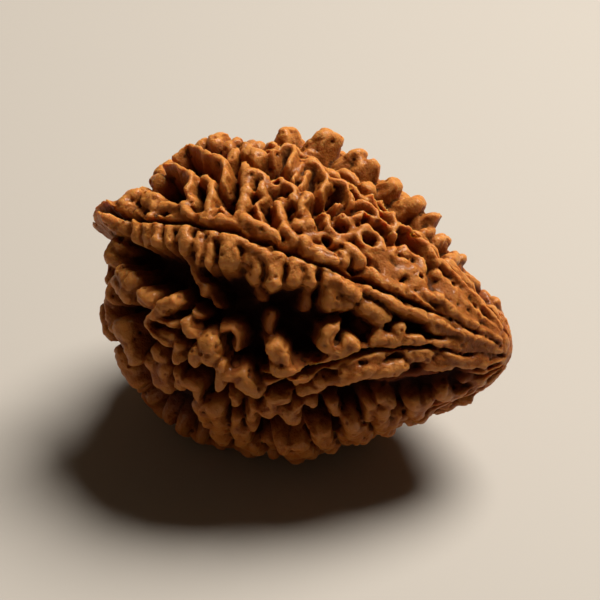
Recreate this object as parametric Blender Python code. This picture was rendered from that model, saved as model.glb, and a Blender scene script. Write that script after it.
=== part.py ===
"""Rudraksha seed: one solid, lying on its side with its pointed end towards +X.

The stone of the fruit is a drop-shaped body, split by seven sutures that run from the broad end to the
nose. The surface between them is a relief of steep islands, crests and teeth over a deep floor. The
body is an icosphere laid onto the drop's outline, and the relief is a height over it, given by a formula.
"""

import math
import random
from collections import namedtuple

import bpy
import numpy as np
from mathutils import Vector, noise

MM = 0.001

# Driving dimensions, in millimetres and degrees
LENGTH = 27.2
GIRTH = 10.1
GIRTH_TO_BROAD_END = 3.3
GIRTH_CURVE = -0.9
RELIEF_DEPTH = 2.9
RELIEF_DEPTH_BROAD_END = 2.3
RELIEF_DEPTH_NOSE = 1.25
FLOOR_HEIGHT = 0.06
REST_STATION = 11.5
NOSE_DROOP = 3.0
REST_CUT = 0.8

SPHERE_SUBDIVISIONS = 7
SOLID_TRIANGLES = 11400

# Each suture's angle about the axis at the broad end, at the belly and at the nose, and the station where
# its lips begin. Angles are 0 at -Y and 90 at the top.
SUTURES = (
    (57.0, 53.0, 53.0, 0.0),
    (-4.0, 4.0, 28.0, 13.8),
    (104.0, 100.0, 91.0, 9.0),
    (-66.0, -62.0, -34.0, 0.0),
    (156.0, 152.0, 166.0, 0.0),
    (207.0, 204.0, 212.0, 0.0),
    (256.0, 254.0, 262.0, 0.0),
)
CRACK = 0.15
CRACK_FLOOR = 0.12
LIP_REACH = 0.62
LIP_HEIGHT = 0.84
DIMPLE_RADIUS = 1.3
DIMPLE_DEPTH = 0.5

Ridge = namedtuple("Ridge", "half_width height places")
Swell = namedtuple("Swell", "place radius height")
Pit = namedtuple("Pit", "place radius depth")


def ridge(half_width, height, *places):
    """A crest through places (station, angle), with a height as a share of the relief's depth."""
    return Ridge(half_width, height, places)


# The side with the relief that was drawn by eye: stations in millimetres from the broad end, angles in
# degrees, half widths in millimetres. An island is one crest or a few that run into each other.
TEETH_UNDER_FRONT_SUTURE = (
    ridge(0.50, 1.62, (0.8, 57.5), (2.0, 55.5)),
    ridge(0.42, 0.98, (3.0, 59), (3.7, 50)),
    ridge(0.42, 0.96, (3.9, 57), (4.6, 48)),
    ridge(0.36, 0.98, (4.9, 55), (5.4, 46.5)),
    ridge(0.30, 0.94, (5.8, 52.5), (6.1, 47)),
    ridge(0.40, 1.02, (7.1, 50.5), (7.5, 46)),
    ridge(0.26, 0.72, (7.5, 46), (8.6, 38), (9.4, 33)),
    ridge(0.34, 0.94, (8.2, 49), (8.7, 43)),
    ridge(0.32, 0.90, (9.1, 49), (9.5, 42)),
    ridge(0.26, 1.02, (10.1, 50.5), (11.4, 50), (12.8, 49)),
    ridge(0.46, 1.02, (10.5, 49), (10.7, 44)),
    ridge(0.46, 0.96, (11.9, 48), (12.3, 43.5)),
    ridge(0.22, 0.60, (12.4, 43), (13.2, 36)),
    ridge(0.42, 1.06, (13.5, 49), (13.6, 42)),
    ridge(0.36, 0.96, (14.7, 49), (14.8, 44.5)),
    ridge(0.36, 0.98, (15.6, 49.5), (15.8, 45.5)),
    ridge(0.24, 0.62, (15.8, 44), (16.0, 36)),
    ridge(0.40, 1.02, (16.6, 49), (17.8, 47.5), (18.5, 46.5)),
    ridge(0.50, 0.94, (17.0, 47), (17.3, 40.5)),
    ridge(0.40, 0.90, (18.1, 46), (18.0, 42)),
    ridge(0.52, 0.90, (19.1, 44), (20.4, 39)),
    ridge(0.16, 0.96, (18.9, 50.5), (20.4, 49)),
    ridge(0.26, 1.00, (20.4, 48.5), (22.0, 47.5), (23.4, 47), (26.3, 47)),
    ridge(0.30, 0.88, (23.2, 44), (25.4, 42)),
    ridge(0.22, 0.84, (24.0, 37), (26.2, 36)),
)
ISLANDS_ON_FRONT = (
    ridge(0.48, 0.94, (2.8, 29), (4.0, 27)),
    ridge(0.46, 0.92, (2.5, 23), (3.7, 21)),
    ridge(0.40, 0.90, (1.9, 18), (2.2, 12)),
    ridge(0.50, 0.92, (5.2, 24.5), (5.7, 23)),
    ridge(0.42, 1.02, (7.7, 26.5), (7.0, 22.5)),
    ridge(0.34, 0.98, (7.0, 22.5), (6.5, 18.5)),
    ridge(0.12, 0.92, (6.6, 17.5), (7.3, 17), (8.0, 17.5)),
    ridge(0.13, 0.98, (6.1, 18), (5.9, 14), (6.7, 10.5), (7.7, 9.5)),
    ridge(0.32, 0.88, (7.1, 12), (7.7, 12.3)),
    ridge(0.28, 0.90, (8.8, 20.5), (9.3, 16)),
    ridge(0.18, 0.76, (9.1, 24), (9.4, 23.5)),
    ridge(0.14, 0.55, (10.0, 31), (10.5, 28.5)),
    ridge(0.30, 0.92, (8.5, 10), (8.4, 5.5)),
    ridge(0.72, 1.03, (10.6, 14), (10.6, 11)),
    ridge(0.40, 1.00, (9.9, 11), (9.7, 8)),
    ridge(0.13, 0.76, (11.3, 21), (11.9, 21.5), (12.3, 19.5), (12.4, 14)),
    ridge(0.32, 1.00, (11.6, 8), (11.6, 1)),
    ridge(0.34, 0.98, (11.9, 5), (13.0, 4.8)),
    ridge(0.44, 0.99, (13.1, 2.5), (13.7, 0)),
    ridge(0.26, 0.92, (13.7, 0), (14.1, 0.5)),
    ridge(0.22, 0.88, (12.4, -5.5), (12.5, -8.5)),
    ridge(0.46, 0.96, (14.6, 17.5), (15.0, 14.5)),
    ridge(0.26, 0.94, (15.0, 13.5), (15.5, 9.5), (17.0, 9.5)),
    ridge(0.34, 0.96, (15.0, 8.5), (16.6, 8)),
    ridge(0.16, 0.62, (14.0, 30), (14.1, 23)),
    ridge(0.26, 0.90, (17.9, 30.5), (17.7, 28)),
    ridge(0.40, 0.92, (17.6, 27), (17.6, 22), (18.3, 19.5)),
    ridge(0.36, 0.96, (18.3, 19.5), (19.2, 22.5), (18.7, 26)),
    ridge(0.28, 0.88, (20.4, 31), (20.3, 27.5)),
    ridge(0.34, 0.90, (21.4, 36), (21.5, 31)),
    ridge(0.40, 0.90, (20.5, 29), (21.6, 28.5)),
    ridge(0.26, 0.86, (21.6, 30.5), (22.3, 30.5)),
)
ISLANDS_BELOW_FRONT = (
    ridge(0.60, 0.98, (3.8, 5), (4.2, 0), (4.8, -5)),
    ridge(0.40, 0.84, (6.5, 2.5), (6.9, 0.5)),
    ridge(0.55, 0.90, (1.8, 6), (2.6, -3)),
    ridge(0.62, 0.86, (6.1, -5), (6.7, -11)),
    ridge(0.50, 0.84, (7.2, -4), (7.4, -14)),
    ridge(0.36, 0.86, (8.4, -2), (8.5, -7.5)),
    ridge(0.36, 0.86, (8.5, -4), (9.8, -5)),
    ridge(0.26, 0.90, (9.9, -7.5), (10.0, -10)),
    ridge(0.58, 0.94, (10.3, -14), (10.7, -23)),
    ridge(0.52, 0.98, (11.2, -13.5), (11.4, -22), (11.2, -34)),
    ridge(0.28, 0.90, (12.5, -18), (12.4, -24)),
    ridge(0.46, 1.00, (12.7, -25), (12.6, -34), (13.2, -44)),
    ridge(0.22, 0.92, (13.7, -8), (13.4, -14), (13.4, -22)),
    ridge(0.36, 0.98, (14.5, -9.5), (14.8, -4.5)),
    ridge(0.32, 1.00, (14.9, -3), (15.6, -3)),
    ridge(0.36, 1.00, (15.4, -8), (15.7, -13.5)),
    ridge(0.28, 0.96, (16.1, -8), (16.0, -17)),
    ridge(0.24, 0.84, (17.0, -6.5), (17.0, -9)),
    ridge(0.46, 1.14, (15.2, -31), (15.2, -54)),
    ridge(0.46, 1.12, (16.1, -32), (16.2, -54)),
    ridge(0.36, 0.84, (14.1, -36), (14.2, -50)),
    ridge(0.50, 1.06, (17.4, -28), (17.5, -46)),
    ridge(0.34, 0.80, (18.3, -10), (18.4, -16)),
    ridge(0.46, 1.06, (19.2, -20), (19.2, -34), (19.6, -46)),
    ridge(0.34, 0.92, (20.4, -12), (20.3, -22)),
    ridge(0.42, 1.06, (21.0, -16), (20.8, -30), (21.0, -46)),
    ridge(0.30, 0.92, (21.1, -8), (21.5, -13)),
    ridge(0.46, 1.08, (22.6, -16), (22.9, -30), (23.0, -44)),
    ridge(0.40, 0.96, (24.2, -14), (24.5, -26)),
    ridge(0.30, 0.66, (25.4, -12), (25.9, -20)),
    ridge(0.36, 0.88, (16.6, 0.5), (17.6, 2)),
    ridge(0.38, 0.92, (17.6, 5), (18.8, 7)),
    ridge(0.36, 1.04, (18.9, 10), (20.3, 13), (21.9, 15.5)),
    ridge(0.26, 0.98, (19.3, 10.5), (20.0, 10.5)),
    ridge(0.30, 0.90, (22.4, 20), (23.2, 20.5)),
    ridge(0.24, 0.56, (18.9, 3.5), (21.4, 6)),
    ridge(0.30, 0.50, (21.9, 5), (23.9, 7)),
    ridge(0.24, 0.90, (23.4, 13.5), (26.2, 13)),
    ridge(0.18, 0.86, (23.8, 20), (26.3, 22)),
)
LIP_OVER_FRONT_SUTURE = (
    ridge(0.50, 1.30, (1.0, 63), (2.2, 62)),
    ridge(0.44, 1.18, (1.6, 70), (2.4, 69)),
    ridge(0.46, 1.00, (3.2, 67.5), (3.8, 65)),
    ridge(0.30, 0.98, (4.8, 62), (6.0, 61)),
    ridge(0.36, 1.00, (6.5, 62), (7.2, 57)),
    ridge(0.34, 1.00, (7.9, 58), (8.7, 57)),
    ridge(0.38, 1.00, (9.4, 57.5), (10.4, 56.5)),
    ridge(0.44, 1.04, (11.1, 58), (12.2, 57)),
    ridge(0.34, 1.06, (12.4, 57), (12.9, 54.5)),
    ridge(0.34, 1.00, (13.4, 60), (14.0, 58.5)),
    ridge(0.40, 1.00, (14.7, 59.5), (15.3, 57)),
    ridge(0.44, 1.06, (15.6, 57), (16.4, 54.5)),
    ridge(0.26, 1.00, (17.0, 60), (17.2, 57)),
    ridge(0.36, 1.02, (17.3, 64), (18.0, 60)),
    ridge(0.34, 0.98, (18.7, 58), (19.6, 54.5)),
    ridge(0.34, 0.99, (19.6, 57), (20.9, 58)),
    ridge(0.24, 1.02, (20.4, 56), (21.4, 57.5), (22.0, 55.5), (22.9, 52.5)),
    ridge(0.24, 1.06, (22.1, 62), (23.0, 64.5), (24.0, 60.5), (26.6, 58)),
    ridge(0.22, 0.94, (24.2, 56), (26.4, 54)),
)
CRESTS_ON_TOP = (
    ridge(0.34, 0.98, (14.0, 65), (14.7, 67)),
    ridge(0.26, 1.02, (13.9, 70), (13.9, 79)),
    ridge(0.40, 0.90, (14.4, 66), (14.1, 72)),
    ridge(0.12, 1.00, (14.4, 83), (14.4, 89), (15.0, 93.5), (15.5, 93), (16.0, 89), (16.4, 84.5)),
    ridge(0.13, 0.86, (15.6, 86), (15.7, 82)),
    ridge(0.12, 1.04, (13.0, 94), (13.7, 93.5), (14.3, 90)),
    ridge(0.12, 1.00, (16.8, 88), (17.4, 90), (17.9, 88.5), (18.2, 86), (19.1, 84)),
    ridge(0.12, 1.04, (17.2, 96), (17.9, 97), (18.5, 95), (18.9, 91), (19.1, 85)),
    ridge(0.12, 1.04, (19.2, 82), (19.1, 88.5), (19.6, 92), (20.4, 91.5), (21.0, 91), (21.5, 87), (22.0, 85)),
    ridge(0.14, 1.02, (22.1, 88), (22.9, 89), (23.5, 86.5), (24.9, 87), (26.4, 85)),
    ridge(0.30, 0.92, (20.0, 79), (21.3, 79), (21.5, 76)),
    ridge(0.26, 0.94, (22.3, 80), (23.4, 77)),
    ridge(0.24, 0.98, (23.7, 74), (25.0, 72), (26.4, 71)),
    ridge(0.16, 0.97, (16.9, 79), (17.2, 83), (17.9, 85)),
    ridge(0.20, 0.93, (15.4, 74), (15.9, 69), (17.0, 69), (17.2, 75), (16.3, 77.5)),
    ridge(0.22, 0.98, (17.6, 76), (17.3, 71), (18.1, 67.5), (18.9, 70.5), (18.7, 76), (17.8, 77.5)),
    ridge(0.30, 0.92, (14.9, 63), (15.6, 65), (16.7, 65)),
    ridge(0.28, 0.92, (18.3, 65), (19.0, 67)),
    ridge(0.24, 0.92, (19.5, 76), (19.4, 71), (20.4, 72)),
    ridge(0.13, 1.02, (3.8, 87), (4.2, 86), (4.9, 82), (5.6, 79), (6.3, 75), (6.4, 69)),
    ridge(0.13, 0.92, (6.4, 69), (7.0, 64)),
    ridge(0.50, 0.90, (2.5, 88), (3.1, 82)),
    ridge(0.40, 0.82, (2.1, 79), (2.6, 74)),
    ridge(0.13, 1.06, (4.1, 92), (4.8, 97), (5.6, 93), (6.5, 88), (7.1, 86), (7.8, 83), (8.4, 76), (8.6, 72)),
    ridge(0.26, 0.98, (7.1, 75), (7.6, 73), (8.1, 66), (8.3, 60)),
    ridge(0.13, 0.84, (8.9, 63.5), (10.0, 60)),
    ridge(0.34, 1.06, (9.3, 82), (9.7, 79)),
    ridge(0.36, 0.98, (9.8, 78), (10.2, 73), (10.4, 64), (10.6, 60)),
    ridge(0.30, 1.00, (10.0, 80), (11.0, 79), (11.2, 74)),
    ridge(0.12, 0.86, (11.6, 73), (11.2, 67), (11.9, 61)),
    ridge(0.24, 0.92, (12.5, 71), (12.9, 66), (13.4, 61)),
    ridge(0.24, 0.95, (11.7, 77), (12.1, 80.5), (13.0, 80), (13.2, 75)),
    ridge(0.20, 0.84, (12.5, 75), (12.9, 73)),
    ridge(0.13, 1.06, (10.8, 92), (11.1, 95), (11.7, 98.5), (12.1, 94), (12.1, 88)),
    ridge(0.15, 0.92, (12.6, 93), (12.7, 84)),
    ridge(0.14, 0.90, (13.2, 90), (13.3, 83)),
    ridge(0.40, 1.02, (9.5, 90.5), (9.9, 90)),
    ridge(0.34, 0.96, (8.7, 94), (8.9, 90)),
    ridge(0.30, 0.92, (7.7, 92), (8.0, 88)),
)
FINGERS_BEHIND_TOP = (
    ridge(0.50, 0.95, (2.1, 104), (2.3, 112)),
    ridge(0.40, 0.86, (3.2, 106), (3.4, 112)),
    ridge(0.46, 0.94, (4.4, 111), (4.6, 116)),
    ridge(0.50, 0.99, (5.4, 110), (5.6, 117)),
    ridge(0.34, 0.84, (6.6, 105), (6.8, 112)),
    ridge(0.48, 0.74, (7.5, 107), (7.7, 113)),
    ridge(0.30, 0.62, (9.0, 103), (9.2, 108)),
    ridge(0.34, 0.76, (9.6, 106), (9.5, 110)),
    ridge(0.48, 1.13, (10.4, 109), (10.5, 113)),
    ridge(0.26, 0.58, (11.5, 103), (11.6, 107)),
    ridge(0.42, 1.36, (12.5, 111), (12.6, 114)),
    ridge(0.30, 0.92, (12.3, 106), (12.5, 110)),
    ridge(0.40, 1.30, (14.6, 111), (14.8, 115)),
    ridge(0.44, 1.18, (15.2, 110), (15.8, 113)),
    ridge(0.34, 1.30, (15.9, 112), (16.0, 114)),
    ridge(0.30, 1.00, (16.5, 98), (16.8, 104)),
    ridge(0.34, 1.24, (17.5, 111), (17.6, 115)),
    ridge(0.30, 1.34, (19.0, 110), (19.1, 114)),
    ridge(0.28, 1.34, (20.1, 110), (20.2, 114)),
    ridge(0.26, 1.04, (20.6, 102), (20.8, 107)),
    ridge(0.34, 1.08, (21.4, 104), (21.6, 114)),
    ridge(0.32, 0.92, (22.5, 103), (22.7, 114)),
    ridge(0.26, 0.84, (22.9, 94), (23.5, 99)),
    ridge(0.28, 0.88, (23.6, 101), (24.3, 113)),
    ridge(0.24, 0.92, (25.4, 94), (26.0, 99)),
)
LUMPS_ON_BROAD_END = (
    ridge(0.50, 1.06, (1.7, 42), (1.6, 34)),
    ridge(0.40, 0.86, (1.1, 26), (1.2, 16)),
    ridge(0.50, 0.98, (1.6, -4), (2.2, -14)),
    ridge(0.60, 0.96, (3.6, -14), (4.6, -24)),
    ridge(0.50, 0.94, (0.9, 82), (1.2, 96)),
)
SWELLS = (
    Swell((16.6, 72), 2.6, 0.64),
    Swell((12.6, 73), 1.6, 0.44),
    Swell((19.0, 87), 1.5, 0.52),
    Swell((21.0, 64), 2.2, 0.94),
    Swell((24.0, 70), 2.6, 0.95),
    Swell((19.5, 62), 1.5, 0.90),
    Swell((26.5, 62), 2.2, 0.80),
    Swell((20.5, 36), 2.0, 0.42),
    Swell((21.5, 10), 1.8, 0.48),
    Swell((11.5, 0), 2.2, 0.22),
    Swell((9.0, 92), 1.8, 0.45),
    Swell((13.0, 90), 1.4, 0.46),
)
PITS = (
    Pit((18.15, 72), 0.50, 0.50),
    Pit((16.5, 72), 0.44, 0.40),
    Pit((15.1, 79), 0.30, 0.45),
    Pit((15.3, 87), 0.60, 0.30),
    Pit((16.0, 64), 0.28, 0.55),
    Pit((18.4, 62), 0.22, 0.60),
    Pit((17.6, 83), 0.24, 0.45),
    Pit((17.35, 79), 0.20, 0.40),
    Pit((20.6, 62), 0.17, 0.50),
    Pit((20.65, 64), 0.16, 0.50),
    Pit((20.4, 55.6), 0.12, 0.45),
    Pit((21.5, 69.5), 0.16, 0.45),
    Pit((20.8, 82), 0.20, 0.35),
    Pit((23.3, 81), 0.22, 0.45),
    Pit((24.7, 77), 0.24, 0.40),
    Pit((25.2, 76), 0.26, 0.45),
    Pit((13.4, 71.5), 0.22, 0.45),
    Pit((12.9, 77.5), 0.20, 0.40),
    Pit((11.9, 79), 0.18, 0.40),
    Pit((10.65, 74), 0.26, 0.45),
    Pit((8.4, 57.5), 0.14, 0.35),
    Pit((18.15, 25), 0.24, 0.50),
    Pit((20.75, 36), 0.26, 0.50),
    Pit((10.7, 13), 0.10, 0.20),
    Pit((10.8, 10), 0.11, 0.22),
    Pit((12.0, 3), 0.09, 0.25),
    Pit((12.9, 4.5), 0.12, 0.25),
    Pit((19.2, -26), 0.14, 0.25),
    Pit((15.6, -42), 0.16, 0.30),
    Pit((15.7, -34), 0.14, 0.30),
)
HOLLOWS = (Swell((10.2, 31), 4.4, -0.38), Swell((4.6, 38), 2.4, -0.16))

# The rule for the faces that were not drawn: rows of islands, each of one to three lobes, and teeth on
# both sides of each suture. Next to the drawn side the islands are low, so the fingers there stand free.
HIDDEN_FROM = 121.0
HIDDEN_TO = 306.0
LOW_TO = 137.0
LOW_TO_AT_NOSE = 160.0
LOW_WIDENS_AT = 18.5
LOW_SHARE = 0.62
ISLAND_PITCH = 2.05
TOOTH_PITCH = 1.25
RIB_ANGLE = 17.1
ISLAND_SEED = 17
NOISE_SEED = 5

# A crest's section: a round cap on walls that fall so many millimetres for each one outwards, and a foot.
# Crests thinner than a full one have sharper rims on gentler walls.
CAP_SHARE = 1.22
FULL_HALF_WIDTH = 0.36
ISLAND_WALL = 6.0
FINGER_WALL = 2.8
HIDDEN_WALL = 4.0
FOOT_WIDTH = 0.85
FOOT_SHARE = 0.34
CELLS_PER_MM = 0.72
CELL_PIT = 0.55
LEAN = 0.15


def smoothstep(low, high, value):
    share = np.clip((value - low) / (high - low), 0.0, 1.0)
    return share * share * (3.0 - 2.0 * share)


def outline(theta):
    """Station from the broad end and radius, for an angle from 0 at the broad end to pi at the nose."""
    cosine = np.cos(theta)
    girth = GIRTH + GIRTH_TO_BROAD_END * cosine + GIRTH_CURVE * cosine**2
    return LENGTH * (1.0 - cosine) / 2.0, girth * np.sin(theta)


def radius_at(station):
    _, radius = outline(np.arccos(np.clip(1.0 - 2.0 * np.asarray(station, float) / LENGTH, -1.0, 1.0)))
    return radius


def on_outline(station, angle):
    """The point in millimetres of the outer drop at a station and an angle in degrees."""
    radius = radius_at(station)
    turn = np.radians(angle)
    along = station - REST_STATION + 0.0 * turn
    return np.stack([along, -radius * np.cos(turn), radius * np.sin(turn)], axis=-1)


def suture_angle(suture, station):
    """A suture's angle in degrees: a curve through its values at the broad end, the belly and the nose."""
    at_broad_end, at_belly, at_nose = suture[:3]
    share = station / LENGTH
    to_belly = smoothstep(0.0, 0.5, share)
    to_nose = smoothstep(0.5, 0.86, share)
    return at_broad_end + (at_belly - at_broad_end) * to_belly + (at_nose - at_belly) * to_nose


def relief_depth(station):
    """How far the floor lies under the outer drop, in millimetres."""
    to_nose = smoothstep(0.60, 0.95, station / LENGTH)
    at_broad_end = 1.0 - smoothstep(0.0, 0.18, station / LENGTH)
    depth = RELIEF_DEPTH + (RELIEF_DEPTH_NOSE - RELIEF_DEPTH) * to_nose
    return depth + (RELIEF_DEPTH_BROAD_END - RELIEF_DEPTH) * at_broad_end


def noise_of(points, scale, offset):
    shift = Vector((offset, -offset, 2.0 * offset))
    return np.array([noise.noise(Vector(p) * scale + shift) for p in points])


def noise_vectors(points, scale, offset):
    noise.seed_set(NOISE_SEED)
    shift = Vector((offset, -offset, 2.0 * offset))
    return np.array([noise.noise_vector(Vector(p) * scale + shift) for p in points])


def hidden_islands(draw):
    """Islands for the faces that were not drawn, in rows around the body."""
    ridges = []
    station = 1.2
    while station < LENGTH - 1.0:
        radius = float(radius_at(station))
        around = math.radians(HIDDEN_TO - HIDDEN_FROM) * radius
        count = max(2, round(around / ISLAND_PITCH))
        for place in range(count):
            angle = HIDDEN_FROM + (HIDDEN_TO - HIDDEN_FROM) * (place + draw.uniform(0.2, 0.8)) / count
            here = min(max(station + draw.uniform(-0.6, 0.6), 0.6), LENGTH - 0.4)
            width = draw.uniform(0.30, 0.52) * min(1.0, 0.45 + radius / 14.0)
            low_to = LOW_TO if here < LOW_WIDENS_AT else LOW_TO_AT_NOSE
            height = draw.uniform(0.86, 1.10) * (LOW_SHARE if angle < low_to else 1.0)
            for _ in range(draw.choice((1, 2, 2, 3))):
                turn = draw.uniform(0.0, 2.0 * math.pi)
                reach = draw.uniform(0.4, 1.1)
                end_station = min(max(here + reach * math.cos(turn), 0.6), LENGTH - 0.4)
                end_angle = angle + math.degrees(reach * math.sin(turn) / max(radius, 2.0))
                ridges.append(ridge(width, height, (here, angle), (end_station, end_angle)))
        station += ISLAND_PITCH * min(1.0, 0.55 + radius / 22.0)
    return ridges


def hidden_teeth(draw):
    """Teeth that hang from both lips of each suture on the faces that were not drawn."""
    ridges = []
    for suture in SUTURES[3:]:
        for side in (-1.0, 1.0):
            station = 1.6 + draw.uniform(0.0, 0.6)
            while station < 23.0:
                per_mm = side * math.degrees(1.0 / max(float(radius_at(station)), 2.0))
                angle = suture_angle(suture, station)
                start = (station, angle + 0.45 * per_mm)
                end = (station + draw.uniform(-0.3, 0.5), angle + draw.uniform(1.1, 2.1) * per_mm)
                ridges.append(ridge(draw.uniform(0.28, 0.46), draw.uniform(0.90, 1.05), start, end))
                station += TOOTH_PITCH * draw.uniform(0.75, 1.3)
    return ridges


def lay_ridges(height, points, uneven, depth, ridges, wall):
    """Raises the height to each crest that is higher. The uneven part moves walls in and out."""
    along_x = points[:, 0]
    for one in ridges:
        places = on_outline(*np.array(one.places, float).T)
        half_width = CAP_SHARE * one.half_width
        fullness = min(max(one.half_width / FULL_HALF_WIDTH, 0.5), 1.0)
        reach = half_width + FOOT_WIDTH
        for start, end in zip(places[:-1], places[1:]):
            near = np.flatnonzero(
                (along_x > min(start[0], end[0]) - reach) & (along_x < max(start[0], end[0]) + reach)
            )
            along = end - start
            share = np.clip((points[near] - start) @ along / max(float(along @ along), 1e-9), 0.0, 1.0)
            away = np.linalg.norm(points[near] - start - share[:, None] * along, axis=1)
            away = np.maximum(away + fullness * uneven[near], 0.0)
            cap = half_width * (1.0 - np.sqrt(1.0 - np.minimum(0.97 * away / half_width, 0.97) ** 2))
            fall = cap + fullness * wall * np.maximum(away - half_width, 0.0)
            foot = FOOT_SHARE * one.height * (1.0 - smoothstep(0.7 * half_width, reach, away))
            raised = np.maximum(one.height - fall / depth[near], foot)
            height[near] = np.maximum(height[near], raised)
    return height


def cell_pits(points):
    """0 on the walls of a net of uneven cells, and up to 1 in the cells' pits."""
    nearest = np.array([noise.voronoi(Vector(p) * CELLS_PER_MM)[0][0] for p in points])
    return 1.0 - smoothstep(0.14, 0.46, nearest)


def lay_swells(height, points):
    """Raises pitted plateaus between the islands, and sinks the hollows."""
    swollen = np.zeros(len(points))
    for swell in SWELLS:
        away = np.linalg.norm(points - on_outline(*np.array(swell.place, float)), axis=1)
        swollen = np.maximum(swollen, swell.height * np.exp(-((away / swell.radius) ** 4)))
    pit = CELL_PIT * (1.3 - swollen) * cell_pits(points)
    height = np.maximum(height, swollen * (1.0 - pit))
    for hollow in HOLLOWS:
        away = np.linalg.norm(points - on_outline(*np.array(hollow.place, float)), axis=1)
        height = height + hollow.height * np.exp(-((away / hollow.radius) ** 2))
    return height


def lay_ribs(height, station, angle, wobble):
    """Long ribs that run together at the nose."""
    waves = 0.5 + 0.5 * np.cos(np.radians(360.0 * angle / RIB_ANGLE) + 3.0 * wobble)
    ribs = 0.35 + 0.55 * smoothstep(0.25, 0.75, waves)
    drawn = smoothstep(-62.0, -46.0, angle) * (1.0 - smoothstep(160.0, 174.0, angle))
    drawn = drawn * (1.0 - smoothstep(24.8, 26.2, station))
    return np.maximum(height, ribs * smoothstep(20.5, 24.0, station) * (1.0 - 0.85 * drawn))


def lay_sutures(height, station, angle, radius, wobble):
    """Raises a pair of lips along each suture and cuts the crack between them."""
    for index, suture in enumerate(SUTURES):
        turn = (angle - suture_angle(suture, station) + 180.0) % 360.0 - 180.0
        across = np.radians(turn) * radius + 0.25 * wobble[:, index % 3]
        other = wobble[:, (index + 1) % 3]
        scallop = np.sin(2.3 * station + 1.7 * index + np.sign(across) * 1.1 + 3.0 * other)
        there = smoothstep(suture[3] - 0.8, suture[3] + 0.8, station)
        reach = LIP_REACH + 0.22 * scallop
        lip = (LIP_HEIGHT + 0.07 * scallop) * (1.0 - smoothstep(reach - 0.15, reach + 0.25, np.abs(across)))
        height = np.maximum(height, lip * there)
        width = CRACK * (1.0 + 0.9 * other) * (1.0 - 0.5 * smoothstep(19.0, 25.0, station))
        open_crack = smoothstep(0.4 * width, 1.5 * width + 0.05, np.abs(across))
        slot = CRACK_FLOOR + 1.4 * open_crack + 2.0 * (1.0 - there)
        height = np.minimum(height, np.where(open_crack < 1.0, slot, 9.0))
    return height


def sink_pits(height, points):
    for pit in PITS:
        away = np.linalg.norm(points - on_outline(*np.array(pit.place, float)), axis=1)
        height = height - pit.depth * (1.0 - smoothstep(0.6 * pit.radius, 1.15 * pit.radius, away))
    return height


def relief_height(outer, station, angle, radius):
    """Height over the floor as a share of the relief's depth: 0 is the floor, 1 the outer drop."""
    draw = random.Random(ISLAND_SEED)
    depth = relief_depth(station)
    wobble = noise_vectors(outer, 0.8, 3.0)
    warped = outer + 0.13 * noise_vectors(outer, 0.6, 6.0) + 0.13 * noise_vectors(outer, 1.5, 8.0)
    uneven = 0.18 * noise_of(outer, 1.4, 9.0) + 0.09 * noise_of(outer, 3.1, 11.0)
    height = FLOOR_HEIGHT + 0.10 * noise_of(outer, 0.5, 5.0)
    height = lay_swells(height, warped)
    height = lay_ribs(height, station, angle, wobble[:, 0])
    drawn = (
        TEETH_UNDER_FRONT_SUTURE
        + ISLANDS_ON_FRONT
        + ISLANDS_BELOW_FRONT
        + LIP_OVER_FRONT_SUTURE
        + CRESTS_ON_TOP
        + LUMPS_ON_BROAD_END
    )
    height = lay_ridges(height, warped, uneven, depth, drawn, ISLAND_WALL)
    height = lay_ridges(height, warped, uneven, depth, FINGERS_BEHIND_TOP, FINGER_WALL)
    ruled = hidden_islands(draw) + hidden_teeth(draw)
    height = lay_ridges(height, warped, uneven, depth, ruled, HIDDEN_WALL)
    height = lay_sutures(height, station, angle, radius, wobble)
    height = sink_pits(height, warped)
    from_stalk = np.linalg.norm(outer - outer[np.argmin(station)], axis=1)
    height = height - DIMPLE_DEPTH * (1.0 - smoothstep(0.4 * DIMPLE_RADIUS, DIMPLE_RADIUS, from_stalk))
    return height + 0.07 * noise_of(outer, 1.1, 2.0)


def outline_normals(theta, angle):
    """Outward unit directions of the outer drop, for points at theta and an angle in degrees."""
    step = 1e-3
    after_station, after_radius = outline(np.minimum(theta + step, math.pi))
    before_station, before_radius = outline(np.maximum(theta - step, 0.0))
    run, rise = after_station - before_station, after_radius - before_radius
    turn = np.radians(angle)
    normal = np.stack([-rise, -run * np.cos(turn), run * np.sin(turn)], axis=1)
    return normal / np.linalg.norm(normal, axis=1)[:, None]


def seed_surface(directions):
    """Points in millimetres of the seed's surface, along unit directions from its middle."""
    theta = np.arccos(np.clip(-directions[:, 0], -1.0, 1.0))
    station, radius = outline(theta)
    angle = np.degrees(np.arctan2(directions[:, 2], -directions[:, 1]))
    outer = on_outline(station, angle)
    normal = outline_normals(theta, angle)
    height = relief_height(outer, station, angle, radius)
    lean = LEAN * noise_vectors(outer, 0.23, 4.0)
    lean -= normal * np.sum(lean * normal, axis=1)[:, None]
    risen = np.maximum(height, 0.0)[:, None]
    depth = relief_depth(station)[:, None]
    return outer + normal * depth * (height[:, None] - 1.0) + lean * depth * risen**2


def lay_down(points):
    """Turns the nose down about Y, as the seed rests, with the origin under the middle of its box."""
    tilt = math.radians(NOSE_DROOP)
    along, up = points[:, 0].copy(), points[:, 2].copy()
    points[:, 0] = along * math.cos(tilt) + up * math.sin(tilt)
    points[:, 2] = up * math.cos(tilt) - along * math.sin(tilt)
    middle = (points.min(axis=0) + points.max(axis=0)) / 2.0
    return points - (middle[0], middle[1], points[:, 2].min() + REST_CUT)


def seed_material():
    material = bpy.data.materials.new("Seed")
    material.use_nodes = True
    shader = material.node_tree.nodes["Principled BSDF"]
    shader.inputs["Base Color"].default_value = (0.36, 0.17, 0.07, 1.0)
    shader.inputs["Roughness"].default_value = 0.45
    shader.inputs["Metallic"].default_value = 0.0
    return material


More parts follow.
